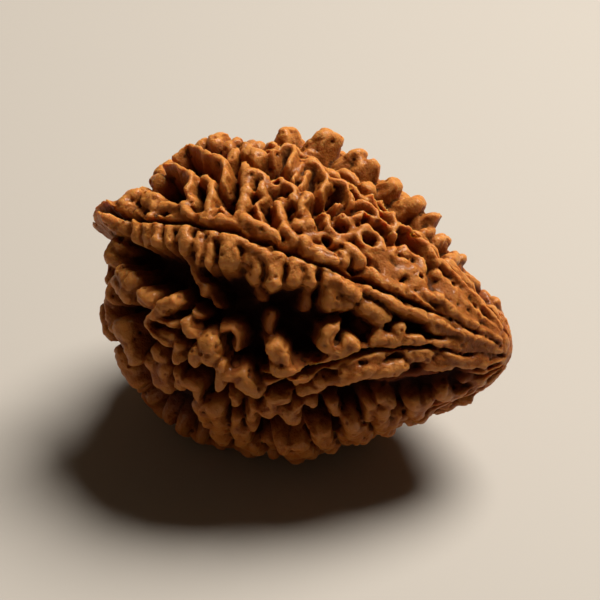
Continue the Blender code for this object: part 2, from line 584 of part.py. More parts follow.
def move_to(thing, collection):
    for old in list(thing.users_collection):
        old.objects.unlink(thing)
    collection.objects.link(thing)


def make_seed(collection):
    bpy.ops.mesh.primitive_ico_sphere_add(subdivisions=SPHERE_SUBDIVISIONS, radius=1.0)
    seed = bpy.context.object
    seed.name = "seed"
    mesh = seed.data
    directions = np.empty(len(mesh.vertices) * 3)
    mesh.vertices.foreach_get("co", directions)
    directions = directions.reshape(-1, 3)
    directions /= np.linalg.norm(directions, axis=1)[:, None]
    points = lay_down(seed_surface(directions))
    mesh.vertices.foreach_set("co", (points * MM).ravel())
    mesh.update()

    thin = seed.modifiers.new("Fewer faces", "DECIMATE")
    thin.ratio = SOLID_TRIANGLES / len(mesh.polygons)
    mesh.materials.append(seed_material())
    move_to(seed, collection)
    return seed


def make_ground_cutter(collection):
    """A box whose top face is the ground: it gives the lowest knobs their flat resting spots."""
    depth = 0.01
    bpy.ops.mesh.primitive_cube_add(size=1.0, location=(0.0, 0.0, -depth / 2.0))
    cutter = bpy.context.object
    cutter.name = "ground_cutter"
    cutter.scale = (0.06, 0.06, depth)
    cutter.hide_render = True
    cutter.display_type = "WIRE"
    move_to(cutter, collection)
    return cutter


def main():
    for old in list(bpy.data.objects):
        bpy.data.objects.remove(old)
    parts = bpy.data.collections.new("Rudraksha seed")
    cutters = bpy.data.collections.new("Cutters")
    bpy.context.scene.collection.children.link(parts)
    bpy.context.scene.collection.children.link(cutters)
    seed = make_seed(parts)
    rest = seed.modifiers.new("Resting spot", "BOOLEAN")
    rest.operation = "DIFFERENCE"
    rest.solver = "EXACT"
    rest.object = make_ground_cutter(cutters)


main()
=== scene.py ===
# %% [markdown]
# # A rudraksha seed, from a measured drop to a knobbed stone
#
# A rudraksha is the stone of a blue, olive-like fruit. When the flesh is cleaned away, a drop-shaped,
# woody body is left. Narrow sutures split it lengthwise, and between them the wood stands up in steep
# islands, crests and teeth. This lesson makes that one piece, gives it a waxy brown finish, and lights it
# on a pale table.
#
# Sizes are in millimetres until the mesh is made, because a seed is easier to think about that way.

import math
import random
from collections import namedtuple

import bpy
import numpy as np
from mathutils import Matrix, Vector, noise


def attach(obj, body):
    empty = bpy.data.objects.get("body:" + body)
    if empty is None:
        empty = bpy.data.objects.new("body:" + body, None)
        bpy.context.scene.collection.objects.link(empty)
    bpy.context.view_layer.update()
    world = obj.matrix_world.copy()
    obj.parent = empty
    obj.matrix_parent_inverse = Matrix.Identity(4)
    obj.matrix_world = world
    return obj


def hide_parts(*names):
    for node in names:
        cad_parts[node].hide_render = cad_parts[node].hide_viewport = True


MM = 0.001
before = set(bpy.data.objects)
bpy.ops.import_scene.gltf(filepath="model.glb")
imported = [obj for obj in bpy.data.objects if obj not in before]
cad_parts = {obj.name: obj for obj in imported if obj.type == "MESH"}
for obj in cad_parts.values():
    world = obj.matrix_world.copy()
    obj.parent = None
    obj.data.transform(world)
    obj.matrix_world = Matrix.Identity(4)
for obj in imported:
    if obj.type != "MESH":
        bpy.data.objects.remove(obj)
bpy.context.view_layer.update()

# %% [markdown]
# ## The camera
#
# The seed is seen from its front and a little from the nose's side, looking down by about a third of a
# right angle. A long lens from a hand's width away keeps both ends nearly the same size. The camera is
# placed by turning a unit direction and stepping back along it, and it aims beside a point on the seed's
# own axis, so that the seed sits a little left of the middle.

# %% Camera
LENS = 150.0
CAMERA_AZIMUTH = 20.0
CAMERA_ELEVATION = 35.0
CAMERA_DISTANCE = 160.26
AXIS_POINT = Vector((-1.336, -0.050, 9.715))
AIM_RIGHT = 0.96
AIM_DOWN = 0.13


def direction(azimuth, elevation):
    """Unit vector towards a viewer at an azimuth from -Y towards +X, and an elevation, in degrees."""
    around, up = math.radians(azimuth), math.radians(elevation)
    return Vector((math.sin(around) * math.cos(up), -math.cos(around) * math.cos(up), math.sin(up)))


def make_camera():
    back = direction(CAMERA_AZIMUTH, CAMERA_ELEVATION)
    right = Vector((0.0, 0.0, 1.0)).cross(back).normalized()
    up = back.cross(right)
    aim = AXIS_POINT + right * AIM_RIGHT - up * AIM_DOWN
    camera = bpy.data.objects.new("camera", bpy.data.cameras.new("camera"))
    camera.data.lens = LENS
    camera.data.clip_start = 1.0 * MM
    camera.location = (aim + back * CAMERA_DISTANCE) * MM
    camera.rotation_euler = back.to_track_quat("Z", "Y").to_euler()
    bpy.context.scene.collection.objects.link(camera)
    bpy.context.scene.camera = camera
    return camera


camera = make_camera()
print("camera at", [round(v, 4) for v in camera.location])

# %% [markdown]
# ## Paint from sums
#
# A finish is a graph of nodes, but it reads best as sums. `Tone` wraps one number socket, and each
# operator adds the Math node that does the sum. `Finish.node` is the one way any other node is made: its
# settings first, then its sockets.


# %% Tone and Finish
class Tone:
    """A number that varies over the surface."""

    def __init__(self, finish, socket):
        self.finish, self.socket = finish, socket

    def math(self, operation, first, second):
        made = self.finish.node("ShaderNodeMath", {"operation": operation}, {0: first, 1: second})
        return Tone(self.finish, made.outputs[0])

    def __add__(self, other):
        return self.math("ADD", self, other)

    def __sub__(self, other):
        return self.math("SUBTRACT", self, other)

    def __rsub__(self, other):
        return self.math("SUBTRACT", other, self)

    def __mul__(self, other):
        return self.math("MULTIPLY", self, other)

    __radd__, __rmul__ = __add__, __mul__

    def rise(self, low, high):
        """0 below low, 1 above high, and a smooth step between them."""
        made = self.finish.node(
            "ShaderNodeMapRange", {"interpolation_type": "SMOOTHSTEP"}, {"Value": self, 1: low, 2: high}
        )
        return Tone(self.finish, made.outputs[0])


class Finish:
    """One material, built node by node."""

    def __init__(self, name):
        self.material = bpy.data.materials.new(name)
        self.material.use_nodes = True
        self.tree = self.material.node_tree
        self.shader = self.tree.nodes["Principled BSDF"]

    def put(self, socket, value):
        value = value.socket if isinstance(value, Tone) else value
        if isinstance(value, bpy.types.NodeSocket):
            self.tree.links.new(value, socket)
        else:
            socket.default_value = value

    def node(self, kind, settings, sockets):
        made = self.tree.nodes.new(kind)
        for name, value in settings.items():
            setattr(made, name, value)
        for name, value in sockets.items():
            self.put(made.inputs[name], value)
        return made

    def mix(self, factor, first, second):
        """A colour between two colours."""
        made = self.node("ShaderNodeMix", {"data_type": "RGBA"}, {0: factor, 6: first, 7: second})
        return made.outputs[2]

    def measured(self, name):
        """A number that the mesh carries at its points."""
        made = self.node("ShaderNodeAttribute", {"attribute_name": name}, {})
        return Tone(self, made.outputs["Fac"])

    def grain(self, place, per_mm, detail, roughness=0.5):
        """Cloudy noise with so many features to a millimetre."""
        sockets = {"Vector": place, "Scale": per_mm / MM, "Detail": detail, "Roughness": roughness}
        return Tone(self, self.node("ShaderNodeTexNoise", {}, sockets).outputs[0])


print("finishes are built with", Finish.__name__, "and", Tone.__name__)

# %% [markdown]
# ## The table and the light
#
# The seed lies on a plain pale table. One large soft lamp stands high behind it, a little towards the
# nose, so the upper face is bright and the hollow on the front falls into shade. A small, warm, weak lamp
# low in front and a dim room keep the shaded knobs readable.

# %% Table
TABLE_SIZE = 3.0
TABLE_PALE = (0.40, 0.38, 0.36, 1.0)
TABLE_ROUGHNESS = 0.7


def make_table():
    bpy.ops.mesh.primitive_plane_add(size=TABLE_SIZE)
    table = bpy.context.object
    table.name = "table"
    finish = Finish("Pale table")
    finish.shader.inputs["Base Color"].default_value = TABLE_PALE
    finish.shader.inputs["Roughness"].default_value = TABLE_ROUGHNESS
    table.data.materials.append(finish.material)
    return table


table = make_table()
print("table:", TABLE_SIZE, "m wide, finish", table.data.materials[0].name)

# %% Lamps and room
Lamp = namedtuple("Lamp", "azimuth elevation distance size power colour")
KEY = Lamp(azimuth=150.0, elevation=60.0, distance=320.0, size=190.0, power=2.1, colour=(1.0, 0.93, 0.82))
FILL = Lamp(azimuth=-20.0, elevation=6.0, distance=300.0, size=60.0, power=0.05, colour=(1.0, 0.66, 0.38))
ROOM_WARM = (1.0, 0.70, 0.44, 1.0)
ROOM_STRENGTH = 0.05


def make_lamp(name, lamp):
    """A round lamp that shines at the seed from a direction; distance and size are in millimetres."""
    made = bpy.data.objects.new(name, bpy.data.lights.new(name, "AREA"))
    made.data.shape = "DISK"
    made.data.size = lamp.size * MM
    made.data.energy = lamp.power
    made.data.color = lamp.colour
    towards = direction(lamp.azimuth, lamp.elevation)
    made.location = (AXIS_POINT + towards * lamp.distance) * MM
    made.rotation_euler = towards.to_track_quat("Z", "Y").to_euler()
    bpy.context.scene.collection.objects.link(made)
    return made


def make_room():
    world = bpy.data.worlds.new("Room")
    world.use_nodes = True
    sky = world.node_tree.nodes["Background"]
    sky.inputs["Color"].default_value = ROOM_WARM
    sky.inputs["Strength"].default_value = ROOM_STRENGTH
    bpy.context.scene.world = world


lamps = [make_lamp("key", KEY), make_lamp("fill", FILL)]
make_room()
bpy.context.scene.view_settings.view_transform = "Standard"
print("lamps:", [lamp.name for lamp in lamps])

# %% [markdown]
# ## The drop under the relief
#
# A cleaned stone is a body of revolution first: round at the end where the stalk was, and drawn out to a
# blunt nose. An angle runs from 0 at the broad end to pi at the nose, as on a sphere, and gives a station
# along the axis and a radius. It could be lathed from a curve; a formula is used because every crest
# below is placed on the same drop, by its station and its angle about the axis.

# %% The drop's outline
# Driving dimensions, in millimetres and degrees. The girth's three terms make the drop's radius.
LENGTH = 27.2
GIRTH = 10.1
GIRTH_TO_BROAD_END = 3.3
GIRTH_CURVE = -0.9
RELIEF_DEPTH = 2.9
RELIEF_DEPTH_BROAD_END = 2.3
RELIEF_DEPTH_NOSE = 1.25
FLOOR_HEIGHT = 0.06
REST_STATION = 11.5
NOSE_DROOP = 3.0


def smoothstep(low, high, value):
    share = np.clip((value - low) / (high - low), 0.0, 1.0)
    return share * share * (3.0 - 2.0 * share)


def outline(theta):
    """Station from the broad end and radius, for an angle from 0 at the broad end to pi at the nose."""
    cosine = np.cos(theta)
    girth = GIRTH + GIRTH_TO_BROAD_END * cosine + GIRTH_CURVE * cosine**2
    return LENGTH * (1.0 - cosine) / 2.0, girth * np.sin(theta)


def radius_at(station):
    _, radius = outline(np.arccos(np.clip(1.0 - 2.0 * np.asarray(station, float) / LENGTH, -1.0, 1.0)))
    return radius


def on_outline(station, angle):
    """The point in millimetres of the outer drop at a station and an angle in degrees."""
    radius = radius_at(station)
    turn = np.radians(angle)
    along = station - REST_STATION + 0.0 * turn
    return np.stack([along, -radius * np.cos(turn), radius * np.sin(turn)], axis=-1)


WIDEST_STATION = 9.5
print("girth at the belly, mm:", round(2.0 * float(radius_at(WIDEST_STATION)), 2))

# %% [markdown]
# ## Sutures
#
# The fruit's chambers meet along seven sutures. Each is a narrow dark crack between two raised lips, and
# all of them run together at the nose. A suture is only an angle that drifts along the axis.

# %% Sutures
# Each suture's angle about the axis at the broad end, at the belly and at the nose, and the station where
# its lips begin. Angles are 0 at -Y and 90 at the top.
SUTURES = (
    (57.0, 53.0, 53.0, 0.0),
    (-4.0, 4.0, 28.0, 13.8),
    (104.0, 100.0, 91.0, 9.0),
    (-66.0, -62.0, -34.0, 0.0),
    (156.0, 152.0, 166.0, 0.0),
    (207.0, 204.0, 212.0, 0.0),
    (256.0, 254.0, 262.0, 0.0),
)
CRACK = 0.15
CRACK_FLOOR = 0.12
LIP_REACH = 0.62
LIP_HEIGHT = 0.84
# Shares of the length: the belly, where a suture has its angle at the nose, where the relief grows thin
# towards the nose, and how far the broad end's shallower relief reaches.
BELLY_SHARE = 0.5
NOSE_SHARE = 0.86
THINS_FROM = 0.60
THINS_TO = 0.95
BROAD_END_TO = 0.18
DIMPLE_RADIUS = 1.3
DIMPLE_DEPTH = 0.5


def suture_angle(suture, station):
    """A suture's angle in degrees: a curve through its values at the broad end, the belly and the nose."""
    at_broad_end, at_belly, at_nose = suture[:3]
    share = station / LENGTH
    to_belly = smoothstep(0.0, BELLY_SHARE, share)
    to_nose = smoothstep(BELLY_SHARE, NOSE_SHARE, share)
    return at_broad_end + (at_belly - at_broad_end) * to_belly + (at_nose - at_belly) * to_nose


def relief_depth(station):
    """How far the floor lies under the outer drop, in millimetres."""
    to_nose = smoothstep(THINS_FROM, THINS_TO, station / LENGTH)
    at_broad_end = 1.0 - smoothstep(0.0, BROAD_END_TO, station / LENGTH)
    depth = RELIEF_DEPTH + (RELIEF_DEPTH_NOSE - RELIEF_DEPTH) * to_nose
    return depth + (RELIEF_DEPTH_BROAD_END - RELIEF_DEPTH) * at_broad_end


belly = BELLY_SHARE * LENGTH
print("sutures at the belly:", [round(float(suture_angle(one, belly)), 1) for one in SUTURES])

# %% [markdown]
# ## Crests, teeth and islands
#
# No two seeds have the same relief, so the side that faces the camera is listed crest by crest. A crest is a
# line through two or more places on the drop, with a half width and a height. A place is a station along
# the axis, in millimetres from the broad end, and an angle about it in degrees. An island is one crest or
# a few that run into each other. Swells lift the floor between them, and pits are sunk into what is there.

# %% What a crest is
Ridge = namedtuple("Ridge", "half_width height places")
Swell = namedtuple("Swell", "place radius height")
Pit = namedtuple("Pit", "place radius depth")


def ridge(half_width, height, *places):
    """A crest through places (station, angle), with a height as a share of the relief's depth."""
    return Ridge(half_width, height, places)


print("one crest:", ridge(0.48, 0.94, (2.8, 29), (4.0, 27)))

# %% Teeth under the front suture
TEETH_UNDER_FRONT_SUTURE = (
    ridge(0.50, 1.62, (0.8, 57.5), (2.0, 55.5)),
    ridge(0.42, 0.98, (3.0, 59), (3.7, 50)),
    ridge(0.42, 0.96, (3.9, 57), (4.6, 48)),
    ridge(0.36, 0.98, (4.9, 55), (5.4, 46.5)),
    ridge(0.30, 0.94, (5.8, 52.5), (6.1, 47)),
    ridge(0.40, 1.02, (7.1, 50.5), (7.5, 46)),
    ridge(0.26, 0.72, (7.5, 46), (8.6, 38), (9.4, 33)),
    ridge(0.34, 0.94, (8.2, 49), (8.7, 43)),
    ridge(0.32, 0.90, (9.1, 49), (9.5, 42)),
    ridge(0.26, 1.02, (10.1, 50.5), (11.4, 50), (12.8, 49)),
    ridge(0.46, 1.02, (10.5, 49), (10.7, 44)),
    ridge(0.46, 0.96, (11.9, 48), (12.3, 43.5)),
    ridge(0.22, 0.60, (12.4, 43), (13.2, 36)),
    ridge(0.42, 1.06, (13.5, 49), (13.6, 42)),
    ridge(0.36, 0.96, (14.7, 49), (14.8, 44.5)),
    ridge(0.36, 0.98, (15.6, 49.5), (15.8, 45.5)),
    ridge(0.24, 0.62, (15.8, 44), (16.0, 36)),
    ridge(0.40, 1.02, (16.6, 49), (17.8, 47.5), (18.5, 46.5)),
    ridge(0.50, 0.94, (17.0, 47), (17.3, 40.5)),
    ridge(0.40, 0.90, (18.1, 46), (18.0, 42)),
    ridge(0.52, 0.90, (19.1, 44), (20.4, 39)),
    ridge(0.16, 0.96, (18.9, 50.5), (20.4, 49)),
    ridge(0.26, 1.00, (20.4, 48.5), (22.0, 47.5), (23.4, 47), (26.3, 47)),
    ridge(0.30, 0.88, (23.2, 44), (25.4, 42)),
    ridge(0.22, 0.84, (24.0, 37), (26.2, 36)),
)


print(len(TEETH_UNDER_FRONT_SUTURE), "teeth and folds under the front suture")

# %% Islands on the front
ISLANDS_ON_FRONT = (
    ridge(0.48, 0.94, (2.8, 29), (4.0, 27)),
    ridge(0.46, 0.92, (2.5, 23), (3.7, 21)),
    ridge(0.40, 0.90, (1.9, 18), (2.2, 12)),
    ridge(0.50, 0.92, (5.2, 24.5), (5.7, 23)),
    ridge(0.42, 1.02, (7.7, 26.5), (7.0, 22.5)),
    ridge(0.34, 0.98, (7.0, 22.5), (6.5, 18.5)),
    ridge(0.12, 0.92, (6.6, 17.5), (7.3, 17), (8.0, 17.5)),
    ridge(0.13, 0.98, (6.1, 18), (5.9, 14), (6.7, 10.5), (7.7, 9.5)),
    ridge(0.32, 0.88, (7.1, 12), (7.7, 12.3)),
    ridge(0.28, 0.90, (8.8, 20.5), (9.3, 16)),
    ridge(0.18, 0.76, (9.1, 24), (9.4, 23.5)),
    ridge(0.14, 0.55, (10.0, 31), (10.5, 28.5)),
    ridge(0.30, 0.92, (8.5, 10), (8.4, 5.5)),
    ridge(0.72, 1.03, (10.6, 14), (10.6, 11)),
    ridge(0.40, 1.00, (9.9, 11), (9.7, 8)),
    ridge(0.13, 0.76, (11.3, 21), (11.9, 21.5), (12.3, 19.5), (12.4, 14)),
    ridge(0.32, 1.00, (11.6, 8), (11.6, 1)),
    ridge(0.34, 0.98, (11.9, 5), (13.0, 4.8)),
    ridge(0.44, 0.99, (13.1, 2.5), (13.7, 0)),
    ridge(0.26, 0.92, (13.7, 0), (14.1, 0.5)),
    ridge(0.22, 0.88, (12.4, -5.5), (12.5, -8.5)),
    ridge(0.46, 0.96, (14.6, 17.5), (15.0, 14.5)),
    ridge(0.26, 0.94, (15.0, 13.5), (15.5, 9.5), (17.0, 9.5)),
    ridge(0.34, 0.96, (15.0, 8.5), (16.6, 8)),
    ridge(0.16, 0.62, (14.0, 30), (14.1, 23)),
    ridge(0.26, 0.90, (17.9, 30.5), (17.7, 28)),
    ridge(0.40, 0.92, (17.6, 27), (17.6, 22), (18.3, 19.5)),
    ridge(0.36, 0.96, (18.3, 19.5), (19.2, 22.5), (18.7, 26)),
    ridge(0.28, 0.88, (20.4, 31), (20.3, 27.5)),
    ridge(0.34, 0.90, (21.4, 36), (21.5, 31)),
    ridge(0.40, 0.90, (20.5, 29), (21.6, 28.5)),
    ridge(0.26, 0.86, (21.6, 30.5), (22.3, 30.5)),
)
ISLANDS_BELOW_FRONT = (
    ridge(0.60, 0.98, (3.8, 5), (4.2, 0), (4.8, -5)),
    ridge(0.40, 0.84, (6.5, 2.5), (6.9, 0.5)),
    ridge(0.55, 0.90, (1.8, 6), (2.6, -3)),
    ridge(0.62, 0.86, (6.1, -5), (6.7, -11)),
    ridge(0.50, 0.84, (7.2, -4), (7.4, -14)),
    ridge(0.36, 0.86, (8.4, -2), (8.5, -7.5)),
    ridge(0.36, 0.86, (8.5, -4), (9.8, -5)),
    ridge(0.26, 0.90, (9.9, -7.5), (10.0, -10)),
    ridge(0.58, 0.94, (10.3, -14), (10.7, -23)),
    ridge(0.52, 0.98, (11.2, -13.5), (11.4, -22), (11.2, -34)),
    ridge(0.28, 0.90, (12.5, -18), (12.4, -24)),
    ridge(0.46, 1.00, (12.7, -25), (12.6, -34), (13.2, -44)),
    ridge(0.22, 0.92, (13.7, -8), (13.4, -14), (13.4, -22)),
    ridge(0.36, 0.98, (14.5, -9.5), (14.8, -4.5)),
    ridge(0.32, 1.00, (14.9, -3), (15.6, -3)),
    ridge(0.36, 1.00, (15.4, -8), (15.7, -13.5)),
    ridge(0.28, 0.96, (16.1, -8), (16.0, -17)),
    ridge(0.24, 0.84, (17.0, -6.5), (17.0, -9)),
    ridge(0.46, 1.14, (15.2, -31), (15.2, -54)),
    ridge(0.46, 1.12, (16.1, -32), (16.2, -54)),
    ridge(0.36, 0.84, (14.1, -36), (14.2, -50)),
    ridge(0.50, 1.06, (17.4, -28), (17.5, -46)),
    ridge(0.34, 0.80, (18.3, -10), (18.4, -16)),
    ridge(0.46, 1.06, (19.2, -20), (19.2, -34), (19.6, -46)),
    ridge(0.34, 0.92, (20.4, -12), (20.3, -22)),
    ridge(0.42, 1.06, (21.0, -16), (20.8, -30), (21.0, -46)),
    ridge(0.30, 0.92, (21.1, -8), (21.5, -13)),
    ridge(0.46, 1.08, (22.6, -16), (22.9, -30), (23.0, -44)),
    ridge(0.40, 0.96, (24.2, -14), (24.5, -26)),
    ridge(0.30, 0.66, (25.4, -12), (25.9, -20)),
    ridge(0.36, 0.88, (16.6, 0.5), (17.6, 2)),
    ridge(0.38, 0.92, (17.6, 5), (18.8, 7)),
    ridge(0.36, 1.04, (18.9, 10), (20.3, 13), (21.9, 15.5)),
    ridge(0.26, 0.98, (19.3, 10.5), (20.0, 10.5)),
    ridge(0.30, 0.90, (22.4, 20), (23.2, 20.5)),
    ridge(0.24, 0.56, (18.9, 3.5), (21.4, 6)),
    ridge(0.30, 0.50, (21.9, 5), (23.9, 7)),
    ridge(0.24, 0.90, (23.4, 13.5), (26.2, 13)),
    ridge(0.18, 0.86, (23.8, 20), (26.3, 22)),
)


print(len(ISLANDS_ON_FRONT) + len(ISLANDS_BELOW_FRONT), "crests on the front")

# %% The lip over the front suture
LIP_OVER_FRONT_SUTURE = (
    ridge(0.50, 1.30, (1.0, 63), (2.2, 62)),
    ridge(0.44, 1.18, (1.6, 70), (2.4, 69)),
    ridge(0.46, 1.00, (3.2, 67.5), (3.8, 65)),
    ridge(0.30, 0.98, (4.8, 62), (6.0, 61)),
    ridge(0.36, 1.00, (6.5, 62), (7.2, 57)),
    ridge(0.34, 1.00, (7.9, 58), (8.7, 57)),
    ridge(0.38, 1.00, (9.4, 57.5), (10.4, 56.5)),
    ridge(0.44, 1.04, (11.1, 58), (12.2, 57)),
    ridge(0.34, 1.06, (12.4, 57), (12.9, 54.5)),
    ridge(0.34, 1.00, (13.4, 60), (14.0, 58.5)),
    ridge(0.40, 1.00, (14.7, 59.5), (15.3, 57)),
    ridge(0.44, 1.06, (15.6, 57), (16.4, 54.5)),
    ridge(0.26, 1.00, (17.0, 60), (17.2, 57)),
    ridge(0.36, 1.02, (17.3, 64), (18.0, 60)),
    ridge(0.34, 0.98, (18.7, 58), (19.6, 54.5)),
    ridge(0.34, 0.99, (19.6, 57), (20.9, 58)),
    ridge(0.24, 1.02, (20.4, 56), (21.4, 57.5), (22.0, 55.5), (22.9, 52.5)),
    ridge(0.24, 1.06, (22.1, 62), (23.0, 64.5), (24.0, 60.5), (26.6, 58)),
    ridge(0.22, 0.94, (24.2, 56), (26.4, 54)),
)


print(len(LIP_OVER_FRONT_SUTURE), "folds of the lip")

# %% Crests on top
CRESTS_ON_TOP = (
    ridge(0.34, 0.98, (14.0, 65), (14.7, 67)),
    ridge(0.26, 1.02, (13.9, 70), (13.9, 79)),
    ridge(0.40, 0.90, (14.4, 66), (14.1, 72)),
    ridge(0.12, 1.00, (14.4, 83), (14.4, 89), (15.0, 93.5), (15.5, 93), (16.0, 89), (16.4, 84.5)),
    ridge(0.13, 0.86, (15.6, 86), (15.7, 82)),
    ridge(0.12, 1.04, (13.0, 94), (13.7, 93.5), (14.3, 90)),
    ridge(0.12, 1.00, (16.8, 88), (17.4, 90), (17.9, 88.5), (18.2, 86), (19.1, 84)),
    ridge(0.12, 1.04, (17.2, 96), (17.9, 97), (18.5, 95), (18.9, 91), (19.1, 85)),
    ridge(0.12, 1.04, (19.2, 82), (19.1, 88.5), (19.6, 92), (20.4, 91.5), (21.0, 91), (21.5, 87), (22.0, 85)),
    ridge(0.14, 1.02, (22.1, 88), (22.9, 89), (23.5, 86.5), (24.9, 87), (26.4, 85)),
    ridge(0.30, 0.92, (20.0, 79), (21.3, 79), (21.5, 76)),
    ridge(0.26, 0.94, (22.3, 80), (23.4, 77)),
    ridge(0.24, 0.98, (23.7, 74), (25.0, 72), (26.4, 71)),
    ridge(0.16, 0.97, (16.9, 79), (17.2, 83), (17.9, 85)),
    ridge(0.20, 0.93, (15.4, 74), (15.9, 69), (17.0, 69), (17.2, 75), (16.3, 77.5)),
    ridge(0.22, 0.98, (17.6, 76), (17.3, 71), (18.1, 67.5), (18.9, 70.5), (18.7, 76), (17.8, 77.5)),
    ridge(0.30, 0.92, (14.9, 63), (15.6, 65), (16.7, 65)),
    ridge(0.28, 0.92, (18.3, 65), (19.0, 67)),
    ridge(0.24, 0.92, (19.5, 76), (19.4, 71), (20.4, 72)),
    ridge(0.13, 1.02, (3.8, 87), (4.2, 86), (4.9, 82), (5.6, 79), (6.3, 75), (6.4, 69)),
    ridge(0.13, 0.92, (6.4, 69), (7.0, 64)),
    ridge(0.50, 0.90, (2.5, 88), (3.1, 82)),
    ridge(0.40, 0.82, (2.1, 79), (2.6, 74)),
    ridge(0.13, 1.06, (4.1, 92), (4.8, 97), (5.6, 93), (6.5, 88), (7.1, 86), (7.8, 83), (8.4, 76), (8.6, 72)),
    ridge(0.26, 0.98, (7.1, 75), (7.6, 73), (8.1, 66), (8.3, 60)),
    ridge(0.13, 0.84, (8.9, 63.5), (10.0, 60)),
    ridge(0.34, 1.06, (9.3, 82), (9.7, 79)),
    ridge(0.36, 0.98, (9.8, 78), (10.2, 73), (10.4, 64), (10.6, 60)),
    ridge(0.30, 1.00, (10.0, 80), (11.0, 79), (11.2, 74)),
    ridge(0.12, 0.86, (11.6, 73), (11.2, 67), (11.9, 61)),
    ridge(0.24, 0.92, (12.5, 71), (12.9, 66), (13.4, 61)),
    ridge(0.24, 0.95, (11.7, 77), (12.1, 80.5), (13.0, 80), (13.2, 75)),
    ridge(0.20, 0.84, (12.5, 75), (12.9, 73)),
    ridge(0.13, 1.06, (10.8, 92), (11.1, 95), (11.7, 98.5), (12.1, 94), (12.1, 88)),
    ridge(0.15, 0.92, (12.6, 93), (12.7, 84)),
    ridge(0.14, 0.90, (13.2, 90), (13.3, 83)),
    ridge(0.40, 1.02, (9.5, 90.5), (9.9, 90)),
    ridge(0.34, 0.96, (8.7, 94), (8.9, 90)),
    ridge(0.30, 0.92, (7.7, 92), (8.0, 88)),
)


print(len(CRESTS_ON_TOP), "crests on the upper face")

# %% Fingers behind the top, and the broad end
FINGERS_BEHIND_TOP = (
    ridge(0.50, 0.95, (2.1, 104), (2.3, 112)),
    ridge(0.40, 0.86, (3.2, 106), (3.4, 112)),
    ridge(0.46, 0.94, (4.4, 111), (4.6, 116)),
    ridge(0.50, 0.99, (5.4, 110), (5.6, 117)),
    ridge(0.34, 0.84, (6.6, 105), (6.8, 112)),
    ridge(0.48, 0.74, (7.5, 107), (7.7, 113)),
    ridge(0.30, 0.62, (9.0, 103), (9.2, 108)),
    ridge(0.34, 0.76, (9.6, 106), (9.5, 110)),
    ridge(0.48, 1.13, (10.4, 109), (10.5, 113)),
    ridge(0.26, 0.58, (11.5, 103), (11.6, 107)),
    ridge(0.42, 1.36, (12.5, 111), (12.6, 114)),
    ridge(0.30, 0.92, (12.3, 106), (12.5, 110)),
    ridge(0.40, 1.30, (14.6, 111), (14.8, 115)),
    ridge(0.44, 1.18, (15.2, 110), (15.8, 113)),
    ridge(0.34, 1.30, (15.9, 112), (16.0, 114)),
    ridge(0.30, 1.00, (16.5, 98), (16.8, 104)),
    ridge(0.34, 1.24, (17.5, 111), (17.6, 115)),
    ridge(0.30, 1.34, (19.0, 110), (19.1, 114)),
    ridge(0.28, 1.34, (20.1, 110), (20.2, 114)),
    ridge(0.26, 1.04, (20.6, 102), (20.8, 107)),
    ridge(0.34, 1.08, (21.4, 104), (21.6, 114)),
    ridge(0.32, 0.92, (22.5, 103), (22.7, 114)),
    ridge(0.26, 0.84, (22.9, 94), (23.5, 99)),
    ridge(0.28, 0.88, (23.6, 101), (24.3, 113)),
    ridge(0.24, 0.92, (25.4, 94), (26.0, 99)),
)
LUMPS_ON_BROAD_END = (
    ridge(0.50, 1.06, (1.7, 42), (1.6, 34)),
    ridge(0.40, 0.86, (1.1, 26), (1.2, 16)),
    ridge(0.50, 0.98, (1.6, -4), (2.2, -14)),
    ridge(0.60, 0.96, (3.6, -14), (4.6, -24)),
    ridge(0.50, 0.94, (0.9, 82), (1.2, 96)),
)


print(len(FINGERS_BEHIND_TOP), "fingers and", len(LUMPS_ON_BROAD_END), "lumps")

# %% Swells that lift the floor
SWELLS = (
    Swell((16.6, 72), 2.6, 0.64),
    Swell((12.6, 73), 1.6, 0.44),
    Swell((19.0, 87), 1.5, 0.52),
    Swell((21.0, 64), 2.2, 0.94),
    Swell((24.0, 70), 2.6, 0.95),
    Swell((19.5, 62), 1.5, 0.90),
    Swell((26.5, 62), 2.2, 0.80),
    Swell((20.5, 36), 2.0, 0.42),
    Swell((21.5, 10), 1.8, 0.48),
    Swell((11.5, 0), 2.2, 0.22),
    Swell((9.0, 92), 1.8, 0.45),
    Swell((13.0, 90), 1.4, 0.46),
)


print(len(SWELLS), "swells")

# %% Pits and hollows
PITS = (
    Pit((18.15, 72), 0.50, 0.50),
    Pit((16.5, 72), 0.44, 0.40),
    Pit((15.1, 79), 0.30, 0.45),
    Pit((15.3, 87), 0.60, 0.30),
    Pit((16.0, 64), 0.28, 0.55),
    Pit((18.4, 62), 0.22, 0.60),
    Pit((17.6, 83), 0.24, 0.45),
    Pit((17.35, 79), 0.20, 0.40),
    Pit((20.6, 62), 0.17, 0.50),
    Pit((20.65, 64), 0.16, 0.50),
    Pit((20.4, 55.6), 0.12, 0.45),
    Pit((21.5, 69.5), 0.16, 0.45),
    Pit((20.8, 82), 0.20, 0.35),
    Pit((23.3, 81), 0.22, 0.45),
    Pit((24.7, 77), 0.24, 0.40),
    Pit((25.2, 76), 0.26, 0.45),
    Pit((13.4, 71.5), 0.22, 0.45),
    Pit((12.9, 77.5), 0.20, 0.40),
    Pit((11.9, 79), 0.18, 0.40),
    Pit((10.65, 74), 0.26, 0.45),
    Pit((8.4, 57.5), 0.14, 0.35),
    Pit((18.15, 25), 0.24, 0.50),
    Pit((20.75, 36), 0.26, 0.50),
    Pit((10.7, 13), 0.10, 0.20),
    Pit((10.8, 10), 0.11, 0.22),
    Pit((12.0, 3), 0.09, 0.25),
    Pit((12.9, 4.5), 0.12, 0.25),
    Pit((19.2, -26), 0.14, 0.25),
    Pit((15.6, -42), 0.16, 0.30),
    Pit((15.7, -34), 0.14, 0.30),
)
